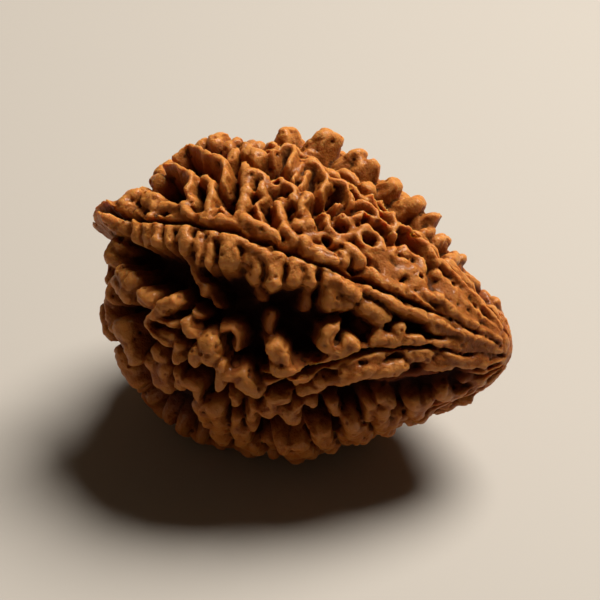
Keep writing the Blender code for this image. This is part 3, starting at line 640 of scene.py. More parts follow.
HOLLOWS = (Swell((10.2, 31), 4.4, -0.38), Swell((4.6, 38), 2.4, -0.16))


print(len(PITS), "pits and", len(HOLLOWS), "hollows")

# %% [markdown]
# ## The faces nobody drew
#
# Behind and below, the same kinds of shapes are set out by a rule with a fixed seed: rows of islands with
# one to three lobes, and teeth along both lips of each suture. Next to the drawn side the islands are low,
# so that the fingers there stand free.

# %% Islands by rule
# Lengths are in millimetres and angles in degrees. A pair is a range that the rule draws from.
HIDDEN_FROM = 121.0
HIDDEN_TO = 306.0
LOW_TO = 137.0
LOW_TO_AT_NOSE = 160.0
LOW_WIDENS_AT = 18.5
LOW_SHARE = 0.62
ISLAND_SEED = 17
ISLAND_PITCH = 2.05
PITCH_AT_TIPS = 0.55
PITCH_GROWS_OVER = 22.0
ISLANDS_FROM = 1.2
ISLANDS_END_BEFORE = 1.0
LEAST_ISLANDS = 2
ALONG_SCATTER = (-0.6, 0.6)
AROUND_SCATTER = (0.2, 0.8)
ISLAND_WIDTHS = (0.30, 0.52)
WIDTH_AT_TIPS = 0.45
WIDTH_GROWS_OVER = 14.0
ISLAND_HEIGHTS = (0.86, 1.10)
LOBES = (1, 2, 2, 3)
LOBE_REACHES = (0.4, 1.1)
OFF_BROAD_TIP = 0.6
OFF_NOSE_TIP = 0.4
LEAST_RADIUS = 2.0


def off_the_tips(station):
    """A station, kept a little way from both ends of the axis."""
    return min(max(station, OFF_BROAD_TIP), LENGTH - OFF_NOSE_TIP)


def island(draw, station, angle):
    """One island's lobes, which all start at about the same place and run out in any direction."""
    radius = float(radius_at(station))
    here = off_the_tips(station + draw.uniform(*ALONG_SCATTER))
    width = draw.uniform(*ISLAND_WIDTHS) * min(1.0, WIDTH_AT_TIPS + radius / WIDTH_GROWS_OVER)
    low_to = LOW_TO if here < LOW_WIDENS_AT else LOW_TO_AT_NOSE
    height = draw.uniform(*ISLAND_HEIGHTS) * (LOW_SHARE if angle < low_to else 1.0)
    lobes = []
    for _ in range(draw.choice(LOBES)):
        turn = draw.uniform(0.0, 2.0 * math.pi)
        reach = draw.uniform(*LOBE_REACHES)
        end_station = off_the_tips(here + reach * math.cos(turn))
        end_angle = angle + math.degrees(reach * math.sin(turn) / max(radius, LEAST_RADIUS))
        lobes.append(ridge(width, height, (here, angle), (end_station, end_angle)))
    return lobes


def hidden_islands(draw):
    """Islands for the faces that were not drawn, in rows around the body."""
    ridges = []
    station = ISLANDS_FROM
    while station < LENGTH - ISLANDS_END_BEFORE:
        radius = float(radius_at(station))
        around = math.radians(HIDDEN_TO - HIDDEN_FROM) * radius
        count = max(LEAST_ISLANDS, round(around / ISLAND_PITCH))
        for place in range(count):
            sweep = (HIDDEN_TO - HIDDEN_FROM) * (place + draw.uniform(*AROUND_SCATTER)) / count
            ridges += island(draw, station, HIDDEN_FROM + sweep)
        station += ISLAND_PITCH * min(1.0, PITCH_AT_TIPS + radius / PITCH_GROWS_OVER)
    return ridges


print(len(hidden_islands(random.Random(ISLAND_SEED))), "lobes on the hidden islands")

# %% Teeth by rule
TOOTH_PITCH = 1.25
PITCH_SCATTER = (0.75, 1.3)
TEETH_FROM = 1.6
TEETH_FROM_SCATTER = (0.0, 0.6)
TEETH_TO = 23.0
TOOTH_STARTS = 0.45
TOOTH_REACHES = (1.1, 2.1)
TOOTH_SLANTS = (-0.3, 0.5)
TOOTH_WIDTHS = (0.28, 0.46)
TOOTH_HEIGHTS = (0.90, 1.05)
FIRST_HIDDEN_SUTURE = 3


def hidden_teeth(draw):
    """Teeth that hang from both lips of each suture on the faces that were not drawn."""
    ridges = []
    for suture in SUTURES[FIRST_HIDDEN_SUTURE:]:
        for side in (-1.0, 1.0):
            station = TEETH_FROM + draw.uniform(*TEETH_FROM_SCATTER)
            while station < TEETH_TO:
                per_mm = side * math.degrees(1.0 / max(float(radius_at(station)), LEAST_RADIUS))
                angle = suture_angle(suture, station)
                start = (station, angle + TOOTH_STARTS * per_mm)
                slant, reach = draw.uniform(*TOOTH_SLANTS), draw.uniform(*TOOTH_REACHES)
                end = (station + slant, angle + reach * per_mm)
                ridges.append(ridge(draw.uniform(*TOOTH_WIDTHS), draw.uniform(*TOOTH_HEIGHTS), start, end))
                station += TOOTH_PITCH * draw.uniform(*PITCH_SCATTER)
    return ridges


print(len(hidden_teeth(random.Random(ISLAND_SEED))), "teeth along the hidden sutures")

# %% [markdown]
# ## From crests to a height
#
# The surface is a height over the floor. Each crest raises it where it is higher than what is there: a
# rounded cap, a steep wall, and a foot that spreads into the floor. The sutures then add their lips and
# cut their cracks, and the pits are sunk last. Noise bends the crests and moves their walls in and out,
# so that none of them looks like a clean tube.

# %% Noise
# Each kind has a strength, so many features to a millimetre, and an offset that moves it elsewhere.
NOISE_SEED = 5
Noise = namedtuple("Noise", "strength per_mm offset")
WOBBLE = Noise(1.0, 0.8, 3.0)
COARSE_WARP = Noise(0.13, 0.6, 6.0)
FINE_WARP = Noise(0.13, 1.5, 8.0)
COARSE_UNEVEN = Noise(0.18, 1.4, 9.0)
FINE_UNEVEN = Noise(0.09, 3.1, 11.0)
FLOOR_NOISE = Noise(0.10, 0.5, 5.0)
SKIN_NOISE = Noise(0.07, 1.1, 2.0)
LEAN = Noise(0.15, 0.23, 4.0)


def noise_shift(kind):
    """Moves each kind of noise elsewhere, so that no two of them are alike."""
    return Vector((kind.offset, -kind.offset, 2.0 * kind.offset))


def noise_of(points, kind):
    shift = noise_shift(kind)
    return kind.strength * np.array([noise.noise(Vector(p) * kind.per_mm + shift) for p in points])


def noise_vectors(points, kind):
    noise.seed_set(NOISE_SEED)
    shift = noise_shift(kind)
    return kind.strength * np.array([noise.noise_vector(Vector(p) * kind.per_mm + shift) for p in points])


print("unevenness at the origin:", noise_of(np.zeros((1, 3)), COARSE_UNEVEN).round(3))

# %% A crest's section
# A round cap on walls that fall so many millimetres for each one outwards, and a foot. Crests thinner than
# a full one have sharper rims on gentler walls.
CAP_SHARE = 1.22
CAP_ROUND = 0.97
FULL_HALF_WIDTH = 0.36
LEAST_FULLNESS = 0.5
ISLAND_WALL = 6.0
FINGER_WALL = 2.8
HIDDEN_WALL = 4.0
FOOT_WIDTH = 0.85
FOOT_FROM = 0.7
FOOT_SHARE = 0.34
SHORTEST = 1e-9


def away_from_line(points, start, end):
    """Distance from points to the straight line between two places."""
    along = end - start
    share = np.clip((points - start) @ along / max(float(along @ along), SHORTEST), 0.0, 1.0)
    return np.linalg.norm(points - start - share[:, None] * along, axis=1)


def lay_ridges(height, points, uneven, depth, ridges, wall):
    """Raises the height to each crest that is higher. The uneven part moves walls in and out."""
    along_x = points[:, 0]
    for one in ridges:
        places = on_outline(*np.array(one.places, float).T)
        half_width = CAP_SHARE * one.half_width
        fullness = min(max(one.half_width / FULL_HALF_WIDTH, LEAST_FULLNESS), 1.0)
        reach = half_width + FOOT_WIDTH
        for start, end in zip(places[:-1], places[1:]):
            low, high = min(start[0], end[0]) - reach, max(start[0], end[0]) + reach
            near = np.flatnonzero((along_x > low) & (along_x < high))
            away = away_from_line(points[near], start, end)
            away = np.maximum(away + fullness * uneven[near], 0.0)
            bend = np.minimum(CAP_ROUND * away / half_width, CAP_ROUND)
            cap = half_width * (1.0 - np.sqrt(1.0 - bend**2))
            fall = cap + fullness * wall * np.maximum(away - half_width, 0.0)
            foot = FOOT_SHARE * one.height * (1.0 - smoothstep(FOOT_FROM * half_width, reach, away))
            raised = np.maximum(one.height - fall / depth[near], foot)
            height[near] = np.maximum(height[near], raised)
    return height


print("a full crest's cap is", round(2.0 * CAP_SHARE * FULL_HALF_WIDTH, 2), "mm wide")

# %% Swells, cells and hollows
CELLS_PER_MM = 0.72
CELL_FLOOR = 0.14
CELL_RIM = 0.46
CELL_PIT = 0.55
PIT_FADE = 1.3


def cell_pits(points):
    """0 on the walls of a net of uneven cells, and up to 1 in the cells' pits."""
    nearest = np.array([noise.voronoi(Vector(p) * CELLS_PER_MM)[0][0] for p in points])
    return 1.0 - smoothstep(CELL_FLOOR, CELL_RIM, nearest)


def away_from_place(points, place):
    return np.linalg.norm(points - on_outline(*np.array(place, float)), axis=1)


def lay_swells(height, points):
    """Raises pitted plateaus between the islands, and sinks the hollows."""
    swollen = np.zeros(len(points))
    for swell in SWELLS:
        away = away_from_place(points, swell.place)
        swollen = np.maximum(swollen, swell.height * np.exp(-((away / swell.radius) ** 4)))
    pit = CELL_PIT * (PIT_FADE - swollen) * cell_pits(points)
    height = np.maximum(height, swollen * (1.0 - pit))
    for hollow in HOLLOWS:
        away = away_from_place(points, hollow.place)
        height = height + hollow.height * np.exp(-((away / hollow.radius) ** 2))
    return height


print("cells are about", round(1.0 / CELLS_PER_MM, 1), "mm apart")

# %% Ribs
RIB_ANGLE = 17.1
RIB_FLOOR = 0.35
RIB_RISE = 0.55
RIB_WALLS = (0.25, 0.75)
RIB_SWAY = 3.0
RIBS_BEGIN = (20.5, 24.0)
DRAWN_BEGINS = (-62.0, -46.0)
DRAWN_ENDS = (160.0, 174.0)
DRAWN_ENDS_ALONG = (24.8, 26.2)
DRAWN_LOWERS_RIBS = 0.85


def lay_ribs(height, station, angle, wobble):
    """Long ribs that run together at the nose, and are low where crests were drawn."""
    waves = 0.5 + 0.5 * np.cos(np.radians(360.0 * angle / RIB_ANGLE) + RIB_SWAY * wobble)
    ribs = RIB_FLOOR + RIB_RISE * smoothstep(*RIB_WALLS, waves)
    drawn = smoothstep(*DRAWN_BEGINS, angle) * (1.0 - smoothstep(*DRAWN_ENDS, angle))
    drawn = drawn * (1.0 - smoothstep(*DRAWN_ENDS_ALONG, station))
    return np.maximum(height, ribs * smoothstep(*RIBS_BEGIN, station) * (1.0 - DRAWN_LOWERS_RIBS * drawn))


print(round(360.0 / RIB_ANGLE), "ribs around the nose")

# %% Lips and cracks
# Millimetres, shares of a suture's own sizes, and scallops in radians to a millimetre.
SUTURE_SWAY = 0.25
BEGINS_OVER = 0.8
SCALLOPS = 2.3
SCALLOP_SHIFTS = (1.7, 1.1, 3.0)
SCALLOP_REACH = 0.22
SCALLOP_HEIGHT = 0.07
LIP_EDGE = (0.15, 0.25)
CRACK_SWAY = 0.9
CRACK_NARROWS = 0.5
CRACK_NARROWS_ALONG = (19.0, 25.0)
CRACK_WALL = (0.4, 1.5)
CRACK_WALL_LEAST = 0.05
CRACK_RISE = 1.4
BEFORE_CRACK = 2.0
NO_CRACK = 9.0


def lip_height(scallop, away):
    """The height of a suture's lips at distances from its middle."""
    reach = LIP_REACH + SCALLOP_REACH * scallop
    edge = 1.0 - smoothstep(reach - LIP_EDGE[0], reach + LIP_EDGE[1], away)
    return (LIP_HEIGHT + SCALLOP_HEIGHT * scallop) * edge


def crack_slot(station, away, there, sway):
    """The height that a crack leaves: its floor in the middle, and no limit outside its walls."""
    width = CRACK * (1.0 + CRACK_SWAY * sway)
    width = width * (1.0 - CRACK_NARROWS * smoothstep(*CRACK_NARROWS_ALONG, station))
    opening = smoothstep(CRACK_WALL[0] * width, CRACK_WALL[1] * width + CRACK_WALL_LEAST, away)
    slot = CRACK_FLOOR + CRACK_RISE * opening + BEFORE_CRACK * (1.0 - there)
    return np.where(opening < 1.0, slot, NO_CRACK)


def lay_sutures(height, station, angle, radius, wobble):
    """Raises a pair of lips along each suture and cuts the crack between them."""
    by_index, by_side, by_sway = SCALLOP_SHIFTS
    for index, suture in enumerate(SUTURES):
        turn = (angle - suture_angle(suture, station) + 180.0) % 360.0 - 180.0
        across = np.radians(turn) * radius + SUTURE_SWAY * wobble[:, index % 3]
        sway = wobble[:, (index + 1) % 3]
        scallop = np.sin(SCALLOPS * station + by_index * index + np.sign(across) * by_side + by_sway * sway)
        there = smoothstep(suture[3] - BEGINS_OVER, suture[3] + BEGINS_OVER, station)
        height = np.maximum(height, lip_height(scallop, np.abs(across)) * there)
        height = np.minimum(height, crack_slot(station, np.abs(across), there, sway))
    return height


print("the crack is about", 2.0 * CRACK, "mm wide between lips", 2.0 * LIP_REACH, "mm wide")

# %% Pits and the stalk's dimple
PIT_WALL = (0.6, 1.15)
DIMPLE_FROM = 0.4


def sink_pits(height, points):
    for pit in PITS:
        away = away_from_place(points, pit.place)
        floor, rim = (share * pit.radius for share in PIT_WALL)
        height = height - pit.depth * (1.0 - smoothstep(floor, rim, away))
    return height


def sink_dimple(height, points, station):
    """The shallow dimple where the stalk was, about the point that is nearest the broad end."""
    from_stalk = np.linalg.norm(points - points[np.argmin(station)], axis=1)
    wall = smoothstep(DIMPLE_FROM * DIMPLE_RADIUS, DIMPLE_RADIUS, from_stalk)
    return height - DIMPLE_DEPTH * (1.0 - wall)


print("the dimple is", 2.0 * DIMPLE_RADIUS, "mm wide")

# %% The height of the whole relief
CRESTS_ON_ISLAND_WALLS = (
    TEETH_UNDER_FRONT_SUTURE
    + ISLANDS_ON_FRONT
    + ISLANDS_BELOW_FRONT
    + LIP_OVER_FRONT_SUTURE
    + CRESTS_ON_TOP
    + LUMPS_ON_BROAD_END
)
NORMAL_STEP = 1e-3


def relief_height(outer, station, angle, radius):
    """Height over the floor as a share of the relief's depth: 0 is the floor, 1 the outer drop."""
    draw = random.Random(ISLAND_SEED)
    depth = relief_depth(station)
    wobble = noise_vectors(outer, WOBBLE)
    warped = outer + noise_vectors(outer, COARSE_WARP) + noise_vectors(outer, FINE_WARP)
    uneven = noise_of(outer, COARSE_UNEVEN) + noise_of(outer, FINE_UNEVEN)
    height = FLOOR_HEIGHT + noise_of(outer, FLOOR_NOISE)
    height = lay_swells(height, warped)
    height = lay_ribs(height, station, angle, wobble[:, 0])
    height = lay_ridges(height, warped, uneven, depth, CRESTS_ON_ISLAND_WALLS, ISLAND_WALL)
    height = lay_ridges(height, warped, uneven, depth, FINGERS_BEHIND_TOP, FINGER_WALL)
    ruled = hidden_islands(draw) + hidden_teeth(draw)
    height = lay_ridges(height, warped, uneven, depth, ruled, HIDDEN_WALL)
    height = lay_sutures(height, station, angle, radius, wobble)
    height = sink_pits(height, warped)
    height = sink_dimple(height, outer, station)
    return height + noise_of(outer, SKIN_NOISE)


def outline_normals(theta, angle):
    """Outward unit directions of the outer drop, for points at theta and an angle in degrees."""
    after_station, after_radius = outline(np.minimum(theta + NORMAL_STEP, math.pi))
    before_station, before_radius = outline(np.maximum(theta - NORMAL_STEP, 0.0))
    run, rise = after_station - before_station, after_radius - before_radius
    turn = np.radians(angle)
    normal = np.stack([-rise, -run * np.cos(turn), run * np.sin(turn)], axis=1)
    return normal / np.linalg.norm(normal, axis=1)[:, None]


top_normal = outline_normals(np.array([math.pi / 2.0]), np.array([90.0]))
print("the drop's normal on top of the belly:", top_normal.round(2).tolist())

# %% [markdown]
# ## The stone's mesh
#
# A fine icosphere has points in every direction at nearly even spacing, so it takes the relief without a
# seam or a pole. Each point is put on the drop and moved along the drop's normal, and the taller the
# crest, the more it leans, as the real teeth do. The points also keep their height, for the paint.

# %% From directions to points
SEED_SHIFT = (-1.8355, -0.0500, 9.7411)


def seed_surface(directions):
    """Points in millimetres of the seed's surface, and their height, along unit directions."""
    theta = np.arccos(np.clip(-directions[:, 0], -1.0, 1.0))
    station, radius = outline(theta)
    angle = np.degrees(np.arctan2(directions[:, 2], -directions[:, 1]))
    outer = on_outline(station, angle)
    normal = outline_normals(theta, angle)
    height = relief_height(outer, station, angle, radius)
    lean = noise_vectors(outer, LEAN)
    lean -= normal * np.sum(lean * normal, axis=1)[:, None]
    risen = np.maximum(height, 0.0)[:, None]
    depth = relief_depth(station)[:, None]
    points = outer + normal * depth * (height[:, None] - 1.0) + lean * depth * risen**2
    return points, height


def lay_down(points):
    """Turns the nose down about Y and moves the seed to its place on the table."""
    tilt = math.radians(NOSE_DROOP)
    along, up = points[:, 0].copy(), points[:, 2].copy()
    points[:, 0] = along * math.cos(tilt) + up * math.sin(tilt)
    points[:, 2] = up * math.cos(tilt) - along * math.sin(tilt)
    return points + SEED_SHIFT


tip = on_outline(np.array([LENGTH]), np.array([0.0]))
print("the drop's nose lies at, mm:", lay_down(tip).round(2).tolist())

# %% Laying the icosphere onto the relief
SPHERE_SUBDIVISIONS = 8
TOP_SWELL = 0.04
SWELL_FROM = 0.66
SWELL_RANGE = (-0.6, 0.5)


def points_of(mesh):
    points = np.empty(len(mesh.vertices) * 3)
    mesh.vertices.foreach_get("co", points)
    return points.reshape(-1, 3)


def set_points(mesh, points):
    """Moves a mesh's points. None goes below the table, where the lowest knobs end flat."""
    points[:, 2] = np.maximum(points[:, 2], 0.0)
    mesh.vertices.foreach_set("co", points.ravel())
    mesh.update()


def swell_tops(mesh, height):
    """Thickens the crests' tops and thins their roots, so that the walls overhang a little."""
    normals = np.empty(len(height) * 3)
    mesh.vertex_normals.foreach_get("vector", normals)
    swell = TOP_SWELL * MM * np.clip(height - SWELL_FROM, *SWELL_RANGE)
    set_points(mesh, points_of(mesh) + normals.reshape(-1, 3) * swell[:, None])


def make_stone():
    bpy.ops.mesh.primitive_ico_sphere_add(subdivisions=SPHERE_SUBDIVISIONS, radius=1.0)
    stone = bpy.context.object
    stone.name = "stone"
    directions = points_of(stone.data)
    directions /= np.linalg.norm(directions, axis=1)[:, None]
    points, height = seed_surface(directions)
    set_points(stone.data, lay_down(points) * MM)
    stone.data.attributes.new("relief", "FLOAT", "POINT").data.foreach_set("value", height)
    swell_tops(stone.data, height)
    return stone


stone = make_stone()
print("stone:", len(stone.data.polygons), "triangles, mm:", [round(v / MM, 1) for v in stone.dimensions])

# %% [markdown]
# ## The finish
#
# Handled seeds are oiled by the skin: the tops are tan and waxy, and the walls are redder. The height that
# the mesh carries drives the tones: walls painted browner, partly as painted shade, and hollows painted
# nearly black as painted shade. How far a point stands out of its surroundings gives painted highlights on
# the crests and painted shade in the crevices. Low down the painted highlights fade and the painted shade
# lies deeper; the upper side is painted a paler tan as painted light from above, and is a little duller.
# Light goes a little way into the wood, which a short subsurface distance gives.

# %% What the paint follows
PATCHES_PER_MM = 0.35
MOTTLE_PER_MM = 2.2
# Low down, in millimetres over the table: where the painted shade deepens, painted highlights fade and wax
# thins
LOW_DOWN_FULL = 4.0
LOW_DOWN_ENDS = 13.0
# How high over the table, in millimetres, the upper side takes its painted light and duller wax
HIGH_FROM = 9.0
HIGH_FULL = 16.0
Guides = namedtuple("Guides", "relief crest crevice low_down dry patches mottle")


def paint_guides(finish, place):
    """Numbers over the surface: what the mesh measured, the height over the table, and cloudy noise."""
    up = Tone(finish, finish.node("ShaderNodeSeparateXYZ", {}, {0: place}).outputs["Z"])
    crest = finish.measured("crest")
    return Guides(
        relief=finish.measured("relief"),
        crest=crest,
        crevice=0.0 - crest,
        low_down=1.0 - up.rise(LOW_DOWN_FULL * MM, LOW_DOWN_ENDS * MM),
        dry=up.rise(HIGH_FROM * MM, HIGH_FULL * MM),
        patches=finish.grain(place, PATCHES_PER_MM, 3.0),
        mottle=finish.grain(place, MOTTLE_PER_MM, 4.0, 0.6),
    )


print("the paint follows:", ", ".join(Guides._fields))

# %% Colour of the wood
TOP_TAN = (0.270, 0.076, 0.007, 1.0)
# Pale tan painted on the crests as painted highlight
PAINTED_RIM_HIGHLIGHT = (0.50, 0.205, 0.046, 1.0)
# Brown of the walls: by relief height partly painted shade, in the mottle the wood's own tone
WALL_BROWN = (0.145, 0.027, 0.002, 1.0)
# Near-black painted shade for the hollows and crevices
PAINTED_SHADE_DARK = (0.016, 0.003, 0.001, 1.0)
RED_PATCH = (0.21, 0.042, 0.004, 1.0)
# Paler tan painted on the upper side as painted light from above
PAINTED_TOP_LIGHT = (0.38, 0.130, 0.020, 1.0)
# Where each tone begins and is full, and how much of it there is at most
TAN_RISE = (0.42, 0.92)
RED_RISE, RED_SHARE = (0.45, 0.68), 0.30
MOTTLE_RISE, MOTTLE_SHARE = (0.50, 0.70), 0.42
TOP_LIGHT_SHARE = 0.26
PALE_CREST, PALE_RELIEF, PALE_SHARE = (0.25, 0.85), (0.5, 0.9), 0.90
HIGHLIGHT_LOST_LOW_DOWN = 0.6
CREVICE_RISE, CREVICE_SHARE = (0.10, 0.75), 0.75
UNSHADED_RISE, UNSHADED_MOTTLE, UNSHADED_LOST_LOW_DOWN = (0.08, 0.66), 0.16, 0.14


def wood_colour(finish, on):
    """Brown walls and tan tops first, then patches, painted highlights on crests, and painted shade in
    crevices and hollows.
    """
    # Walls painted browner than the tops: partly the wood's own redder tone, partly painted shade down in the
    # relief
    colour = finish.mix(on.relief.rise(*TAN_RISE), WALL_BROWN, TOP_TAN)
    colour = finish.mix(on.patches.rise(*RED_RISE) * RED_SHARE, colour, RED_PATCH)
    colour = finish.mix(on.mottle.rise(*MOTTLE_RISE) * MOTTLE_SHARE, colour, WALL_BROWN)
    # Painted light: the upper side painted a paler tan
    colour = finish.mix(on.dry * TOP_LIGHT_SHARE, colour, PAINTED_TOP_LIGHT)
    # Painted highlight on the crests, fading low down
    rim_highlight = on.crest.rise(*PALE_CREST) * on.relief.rise(*PALE_RELIEF)
    rim_highlight = rim_highlight * (1.0 - on.low_down * HIGHLIGHT_LOST_LOW_DOWN)
    colour = finish.mix(rim_highlight * PALE_SHARE, colour, PAINTED_RIM_HIGHLIGHT)
    # Painted shade in the crevices, where a point lies below its surroundings
    colour = finish.mix(on.crevice.rise(*CREVICE_RISE) * CREVICE_SHARE, colour, PAINTED_SHADE_DARK)
    # Painted shade on the floor between the crests, deeper low down
    unshaded = on.relief + on.mottle * UNSHADED_MOTTLE - on.low_down * UNSHADED_LOST_LOW_DOWN
    return finish.mix(1.0 - unshaded.rise(*UNSHADED_RISE), colour, PAINTED_SHADE_DARK)


print("tones:", len((TOP_TAN, PAINTED_RIM_HIGHLIGHT, WALL_BROWN, PAINTED_SHADE_DARK, RED_PATCH, PAINTED_TOP_LIGHT)))

# %% Gloss and fine grain
CREASE_RISE, CREASE_DULLS = (0.05, 0.60), 0.85
SHOWN_RISE = (0.20, 0.75)
ROUGH_HOLLOW, WAX_SMOOTHS, DRY_ROUGHENS, MOTTLE_ROUGHENS = 0.85, 0.42, 0.08, 0.16
WAX, WAX_LOST_LOW_DOWN, WAX_LOST_DRY = 0.22, 0.10, 0.07
WAX_ROUGHNESS = 0.16
SPECULAR = 0.14
LIGHT_ENTERS = 0.45
LIGHT_REACH = 0.8
LIGHT_REACH_BY_COLOUR = (1.0, 0.38, 0.12)
FINE_PER_MM, FINE_SHARE = 7.0, 0.8
CRINKLES_PER_MM = 3.2
GRAIN_STRENGTH = 0.8
GRAIN_DEPTH = 0.14


def set_gloss(finish, on):
    """Dull hollows and creases, and waxy tops that are a little drier high up."""
    creased = on.crevice.rise(*CREASE_RISE)
    shown = on.relief.rise(*SHOWN_RISE) * (1.0 - creased * CREASE_DULLS)
    smoothed = shown * (WAX_SMOOTHS - on.dry * DRY_ROUGHENS)
    waxy = shown * (WAX - on.low_down * WAX_LOST_LOW_DOWN - on.dry * WAX_LOST_DRY)
    gloss = finish.shader.inputs
    finish.put(gloss["Roughness"], ROUGH_HOLLOW - smoothed + on.mottle * MOTTLE_ROUGHENS)
    finish.put(gloss["Coat Weight"], waxy)
    gloss["Coat Roughness"].default_value = WAX_ROUGHNESS
    gloss["Specular IOR Level"].default_value = SPECULAR
    gloss["Subsurface Weight"].default_value = LIGHT_ENTERS
    gloss["Subsurface Radius"].default_value = LIGHT_REACH_BY_COLOUR
    gloss["Subsurface Scale"].default_value = LIGHT_REACH * MM


def fine_grain(finish, place):
    """A bumped normal for grain that is too fine for the mesh."""
    fine = finish.grain(place, FINE_PER_MM, 4.0, 0.65)
    height = fine * FINE_SHARE + finish.grain(place, CRINKLES_PER_MM, 2.0, 0.5)
    sockets = {"Strength": GRAIN_STRENGTH, "Distance": GRAIN_DEPTH * MM, "Height": height}
    return finish.node("ShaderNodeBump", {}, sockets).outputs[0]


def seed_finish():
    finish = Finish("Seed wood")
    place = finish.node("ShaderNodeTexCoord", {}, {}).outputs["Object"]
    on = paint_guides(finish, place)
    finish.put(finish.shader.inputs["Base Color"], wood_colour(finish, on))
    set_gloss(finish, on)
    finish.put(finish.shader.inputs["Normal"], fine_grain(finish, place))
    return finish.material


wood = seed_finish()
print("finish:", wood.name, "with", len(wood.node_tree.nodes), "nodes")

# %% [markdown]
# ## The skin
#
# The walls of the icosphere are stretched thin, so a voxel remesh first gives the stone an even skin. Two
# Geometry Nodes trees follow. The first roughens it: wrinkles, a finer grain, creases and pores, each with
# a named height, move the points along the normal. The second measures it for the paint: it fetches the
# height from the stone, blurs the positions, and keeps how far each point stands out.

# %% Tree helpers
class Tree:
    """A Geometry Nodes tree, built node by node."""

    def __init__(self, name, sizes):
        self.group = bpy.data.node_groups.new(name, "GeometryNodeTree")
        interface = self.group.interface
        interface.new_socket("Geometry", in_out="INPUT", socket_type="NodeSocketGeometry")
        for title, kind in sizes.items():
            interface.new_socket(title, in_out="INPUT", socket_type=kind)
        interface.new_socket("Geometry", in_out="OUTPUT", socket_type="NodeSocketGeometry")
        self.given = self.group.nodes.new("NodeGroupInput").outputs
        self.result = self.group.nodes.new("NodeGroupOutput").inputs

    def node(self, kind, settings, sockets):
        made = self.group.nodes.new(kind)
        for name, value in settings.items():
            setattr(made, name, value)
        for name, value in sockets.items():
            if isinstance(value, bpy.types.NodeSocket):
                self.group.links.new(value, made.inputs[name])
            else:
                made.inputs[name].default_value = value
        return made

    def math(self, operation, first, second):
        return self.node("ShaderNodeMath", {"operation": operation}, {0: first, 1: second}).outputs[0]

    def vector(self, operation, sockets, output=0):
        return self.node("ShaderNodeVectorMath", {"operation": operation}, sockets).outputs[output]

    def finish(self, geometry, material):
        """Every tree ends the same way: instances made real, and the finish set."""
        real = self.node("GeometryNodeRealizeInstances", {}, {"Geometry": geometry}).outputs[0]
        done = self.node("GeometryNodeSetMaterial", {}, {"Geometry": real, "Material": material})
        self.group.links.new(done.outputs[0], self.result[0])
        return self.group


def add_tree(piece, group, values):
    """Puts a tree on a piece, with its named inputs set by their identifiers."""
    modifier = piece.modifiers.new(group.name, "NODES")
    modifier.node_group = group
    for item in group.interface.items_tree:
        if item.in_out == "INPUT" and item.name in values:
            modifier[item.identifier] = values[item.name]
    return modifier


print("trees are built with", Tree.__name__, "and put on a piece by", add_tree.__name__)

# %% Roughening tree
WRINKLES_PER_MM, WRINKLE_HEIGHT = 1.3, 0.13
GRAINS_PER_MM, GRAIN_HEIGHT = 3.6, 0.08
CREASES_PER_MM, CREASE_DEPTH = 0.55, 0.06
PORES_PER_MM, PORE_DEPTH = 1.25, 0.13
NOISE_MIDDLE = 0.5
CREASE_EDGE = 0.05
PORE_FLOOR, PORE_RIM = 0.10, 0.24


def cloud(tree, kind, detail):
    """Noise on both sides of zero, at the scale that this kind's input gives."""
    sockets = {"Scale": tree.given[kind + " Scale"], "Detail": detail}
    made = tree.node("ShaderNodeTexNoise", {}, sockets).outputs[0]
    return tree.math("SUBTRACT", made, NOISE_MIDDLE)


def cut(tree, away, floor, rim):
    """-1 where away is under floor, 0 over rim, and a smooth wall between them."""
    sockets = {"Value": away, 1: floor, 2: rim, 3: -1.0, 4: 0.0}
    return tree.node("ShaderNodeMapRange", {"interpolation_type": "SMOOTHSTEP"}, sockets).outputs[0]


def roughening_tree():
    kinds = ("Wrinkle", "Grain", "Crease", "Pore")
    titles = [kind + size for kind in kinds for size in (" Scale", " Height")]
    tree = Tree("Roughened skin", dict.fromkeys(titles, "NodeSocketFloat"))
    from_crease = tree.math("ABSOLUTE", cloud(tree, "Crease", 1.0), 0.0)
    from_pore = tree.node("ShaderNodeTexVoronoi", {}, {"Scale": tree.given["Pore Scale"]}).outputs["Distance"]
    shapes = (
        cloud(tree, "Wrinkle", 2.0),
        cloud(tree, "Grain", 2.0),
        cut(tree, from_crease, 0.0, CREASE_EDGE),
        cut(tree, from_pore, PORE_FLOOR, PORE_RIM),
    )
    move = 0.0
    for kind, shape in zip(kinds, shapes):
        move = tree.math("ADD", move, tree.math("MULTIPLY", shape, tree.given[kind + " Height"]))
    normal = tree.node("GeometryNodeInputNormal", {}, {}).outputs[0]
    offset = tree.vector("SCALE", {0: normal, "Scale": move})
    sockets = {"Geometry": tree.given["Geometry"], "Offset": offset}
    moved = tree.node("GeometryNodeSetPosition", {}, sockets)
    return tree.finish(moved.outputs[0], wood)


roughened = roughening_tree()
print("roughening tree:", len(roughened.nodes), "nodes")

# %% Measuring tree
CREST_BLUR = 7
CREST_FULL = 0.16


def fetched_height(tree, source):
    """The stone's height at the nearest place on it."""
    stone_mesh = tree.node("GeometryNodeObjectInfo", {"transform_space": "ORIGINAL"}, {"Object": source})
    height = tree.node("GeometryNodeInputNamedAttribute", {"data_type": "FLOAT"}, {"Name": "relief"})
    sockets = {"Mesh": stone_mesh.outputs["Geometry"], "Value": height.outputs[0]}
    return tree.node("GeometryNodeSampleNearestSurface", {"data_type": "FLOAT"}, sockets).outputs[0]


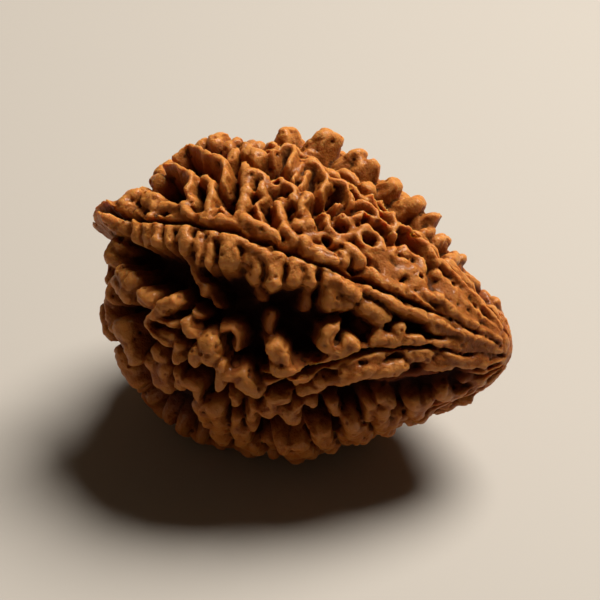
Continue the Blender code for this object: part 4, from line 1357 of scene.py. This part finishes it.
def standing_out(tree, blur):
    """How far each point stands out of its blurred surroundings."""
    place = tree.node("GeometryNodeInputPosition", {}, {}).outputs[0]
    sockets = {"Value": place, "Iterations": blur}
    blurred = tree.node("GeometryNodeBlurAttribute", {"data_type": "FLOAT_VECTOR"}, sockets).outputs[0]
    out = tree.vector("SUBTRACT", {0: place, 1: blurred})
    normal = tree.node("GeometryNodeInputNormal", {}, {}).outputs[0]
    return tree.vector("DOT_PRODUCT", {0: out, 1: normal}, "Value")


def kept(tree, geometry, name, value):
    """Stores a number at the points, under a name that the finish reads."""
    settings = {"data_type": "FLOAT", "domain": "POINT"}
    sockets = {"Geometry": geometry, "Name": name, "Value": value}
    return tree.node("GeometryNodeStoreNamedAttribute", settings, sockets).outputs[0]


def measuring_tree():
    sizes = {"Stone": "NodeSocketObject", "Blur": "NodeSocketInt", "Full Crest": "NodeSocketFloat"}
    tree = Tree("Measured skin", sizes)
    given = tree.given
    skin = kept(tree, given["Geometry"], "relief", fetched_height(tree, given["Stone"]))
    crest = tree.math("DIVIDE", standing_out(tree, given["Blur"]), given["Full Crest"])
    return tree.finish(kept(tree, skin, "crest", crest), wood)


measured = measuring_tree()
print("measuring tree:", len(measured.nodes), "nodes")

# %% Modifiers and baking
VOXEL = 0.09
SEED_TRIANGLES = 194000


def add_remesh(piece):
    remesh = piece.modifiers.new("Even skin", "REMESH")
    remesh.mode = "VOXEL"
    remesh.voxel_size = VOXEL * MM


def add_decimate(piece, triangles_now):
    thin = piece.modifiers.new("Fewer faces", "DECIMATE")
    thin.ratio = min(1.0, SEED_TRIANGLES / triangles_now)


def baked(piece, name):
    """A plain mesh object of what a piece's modifiers make."""
    graph = bpy.context.evaluated_depsgraph_get()
    mesh = bpy.data.meshes.new_from_object(piece.evaluated_get(graph))
    mesh.name = name
    made = bpy.data.objects.new(name, mesh)
    bpy.context.scene.collection.objects.link(made)
    return made


def triangle_count(mesh):
    mesh.calc_loop_triangles()
    return len(mesh.loop_triangles)


print("voxels of", VOXEL, "mm")

# %% An even, rough skin
sizes = {
    "Wrinkle Scale": WRINKLES_PER_MM / MM,
    "Wrinkle Height": WRINKLE_HEIGHT * MM,
    "Grain Scale": GRAINS_PER_MM / MM,
    "Grain Height": GRAIN_HEIGHT * MM,
    "Crease Scale": CREASES_PER_MM / MM,
    "Crease Height": CREASE_DEPTH * MM,
    "Pore Scale": PORES_PER_MM / MM,
    "Pore Height": PORE_DEPTH * MM,
}
add_remesh(stone)
add_tree(stone, roughened, sizes)
rough = baked(stone, "rough seed")
stone.modifiers.clear()
print("even skin:", triangle_count(rough.data), "triangles")

# %% The finished seed
add_decimate(rough, triangle_count(rough.data))
add_tree(rough, measured, {"Stone": stone, "Blur": CREST_BLUR, "Full Crest": CREST_FULL * MM})
seed_piece = baked(rough, "seed_skin")
for used in (rough, stone):
    bpy.data.objects.remove(used)
set_points(seed_piece.data, points_of(seed_piece.data))
seed_piece.data.shade_smooth()
print("seed:", triangle_count(seed_piece.data), "triangles")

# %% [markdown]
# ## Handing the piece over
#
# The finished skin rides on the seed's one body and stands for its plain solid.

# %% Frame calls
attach(seed_piece, "root")
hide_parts("seed")
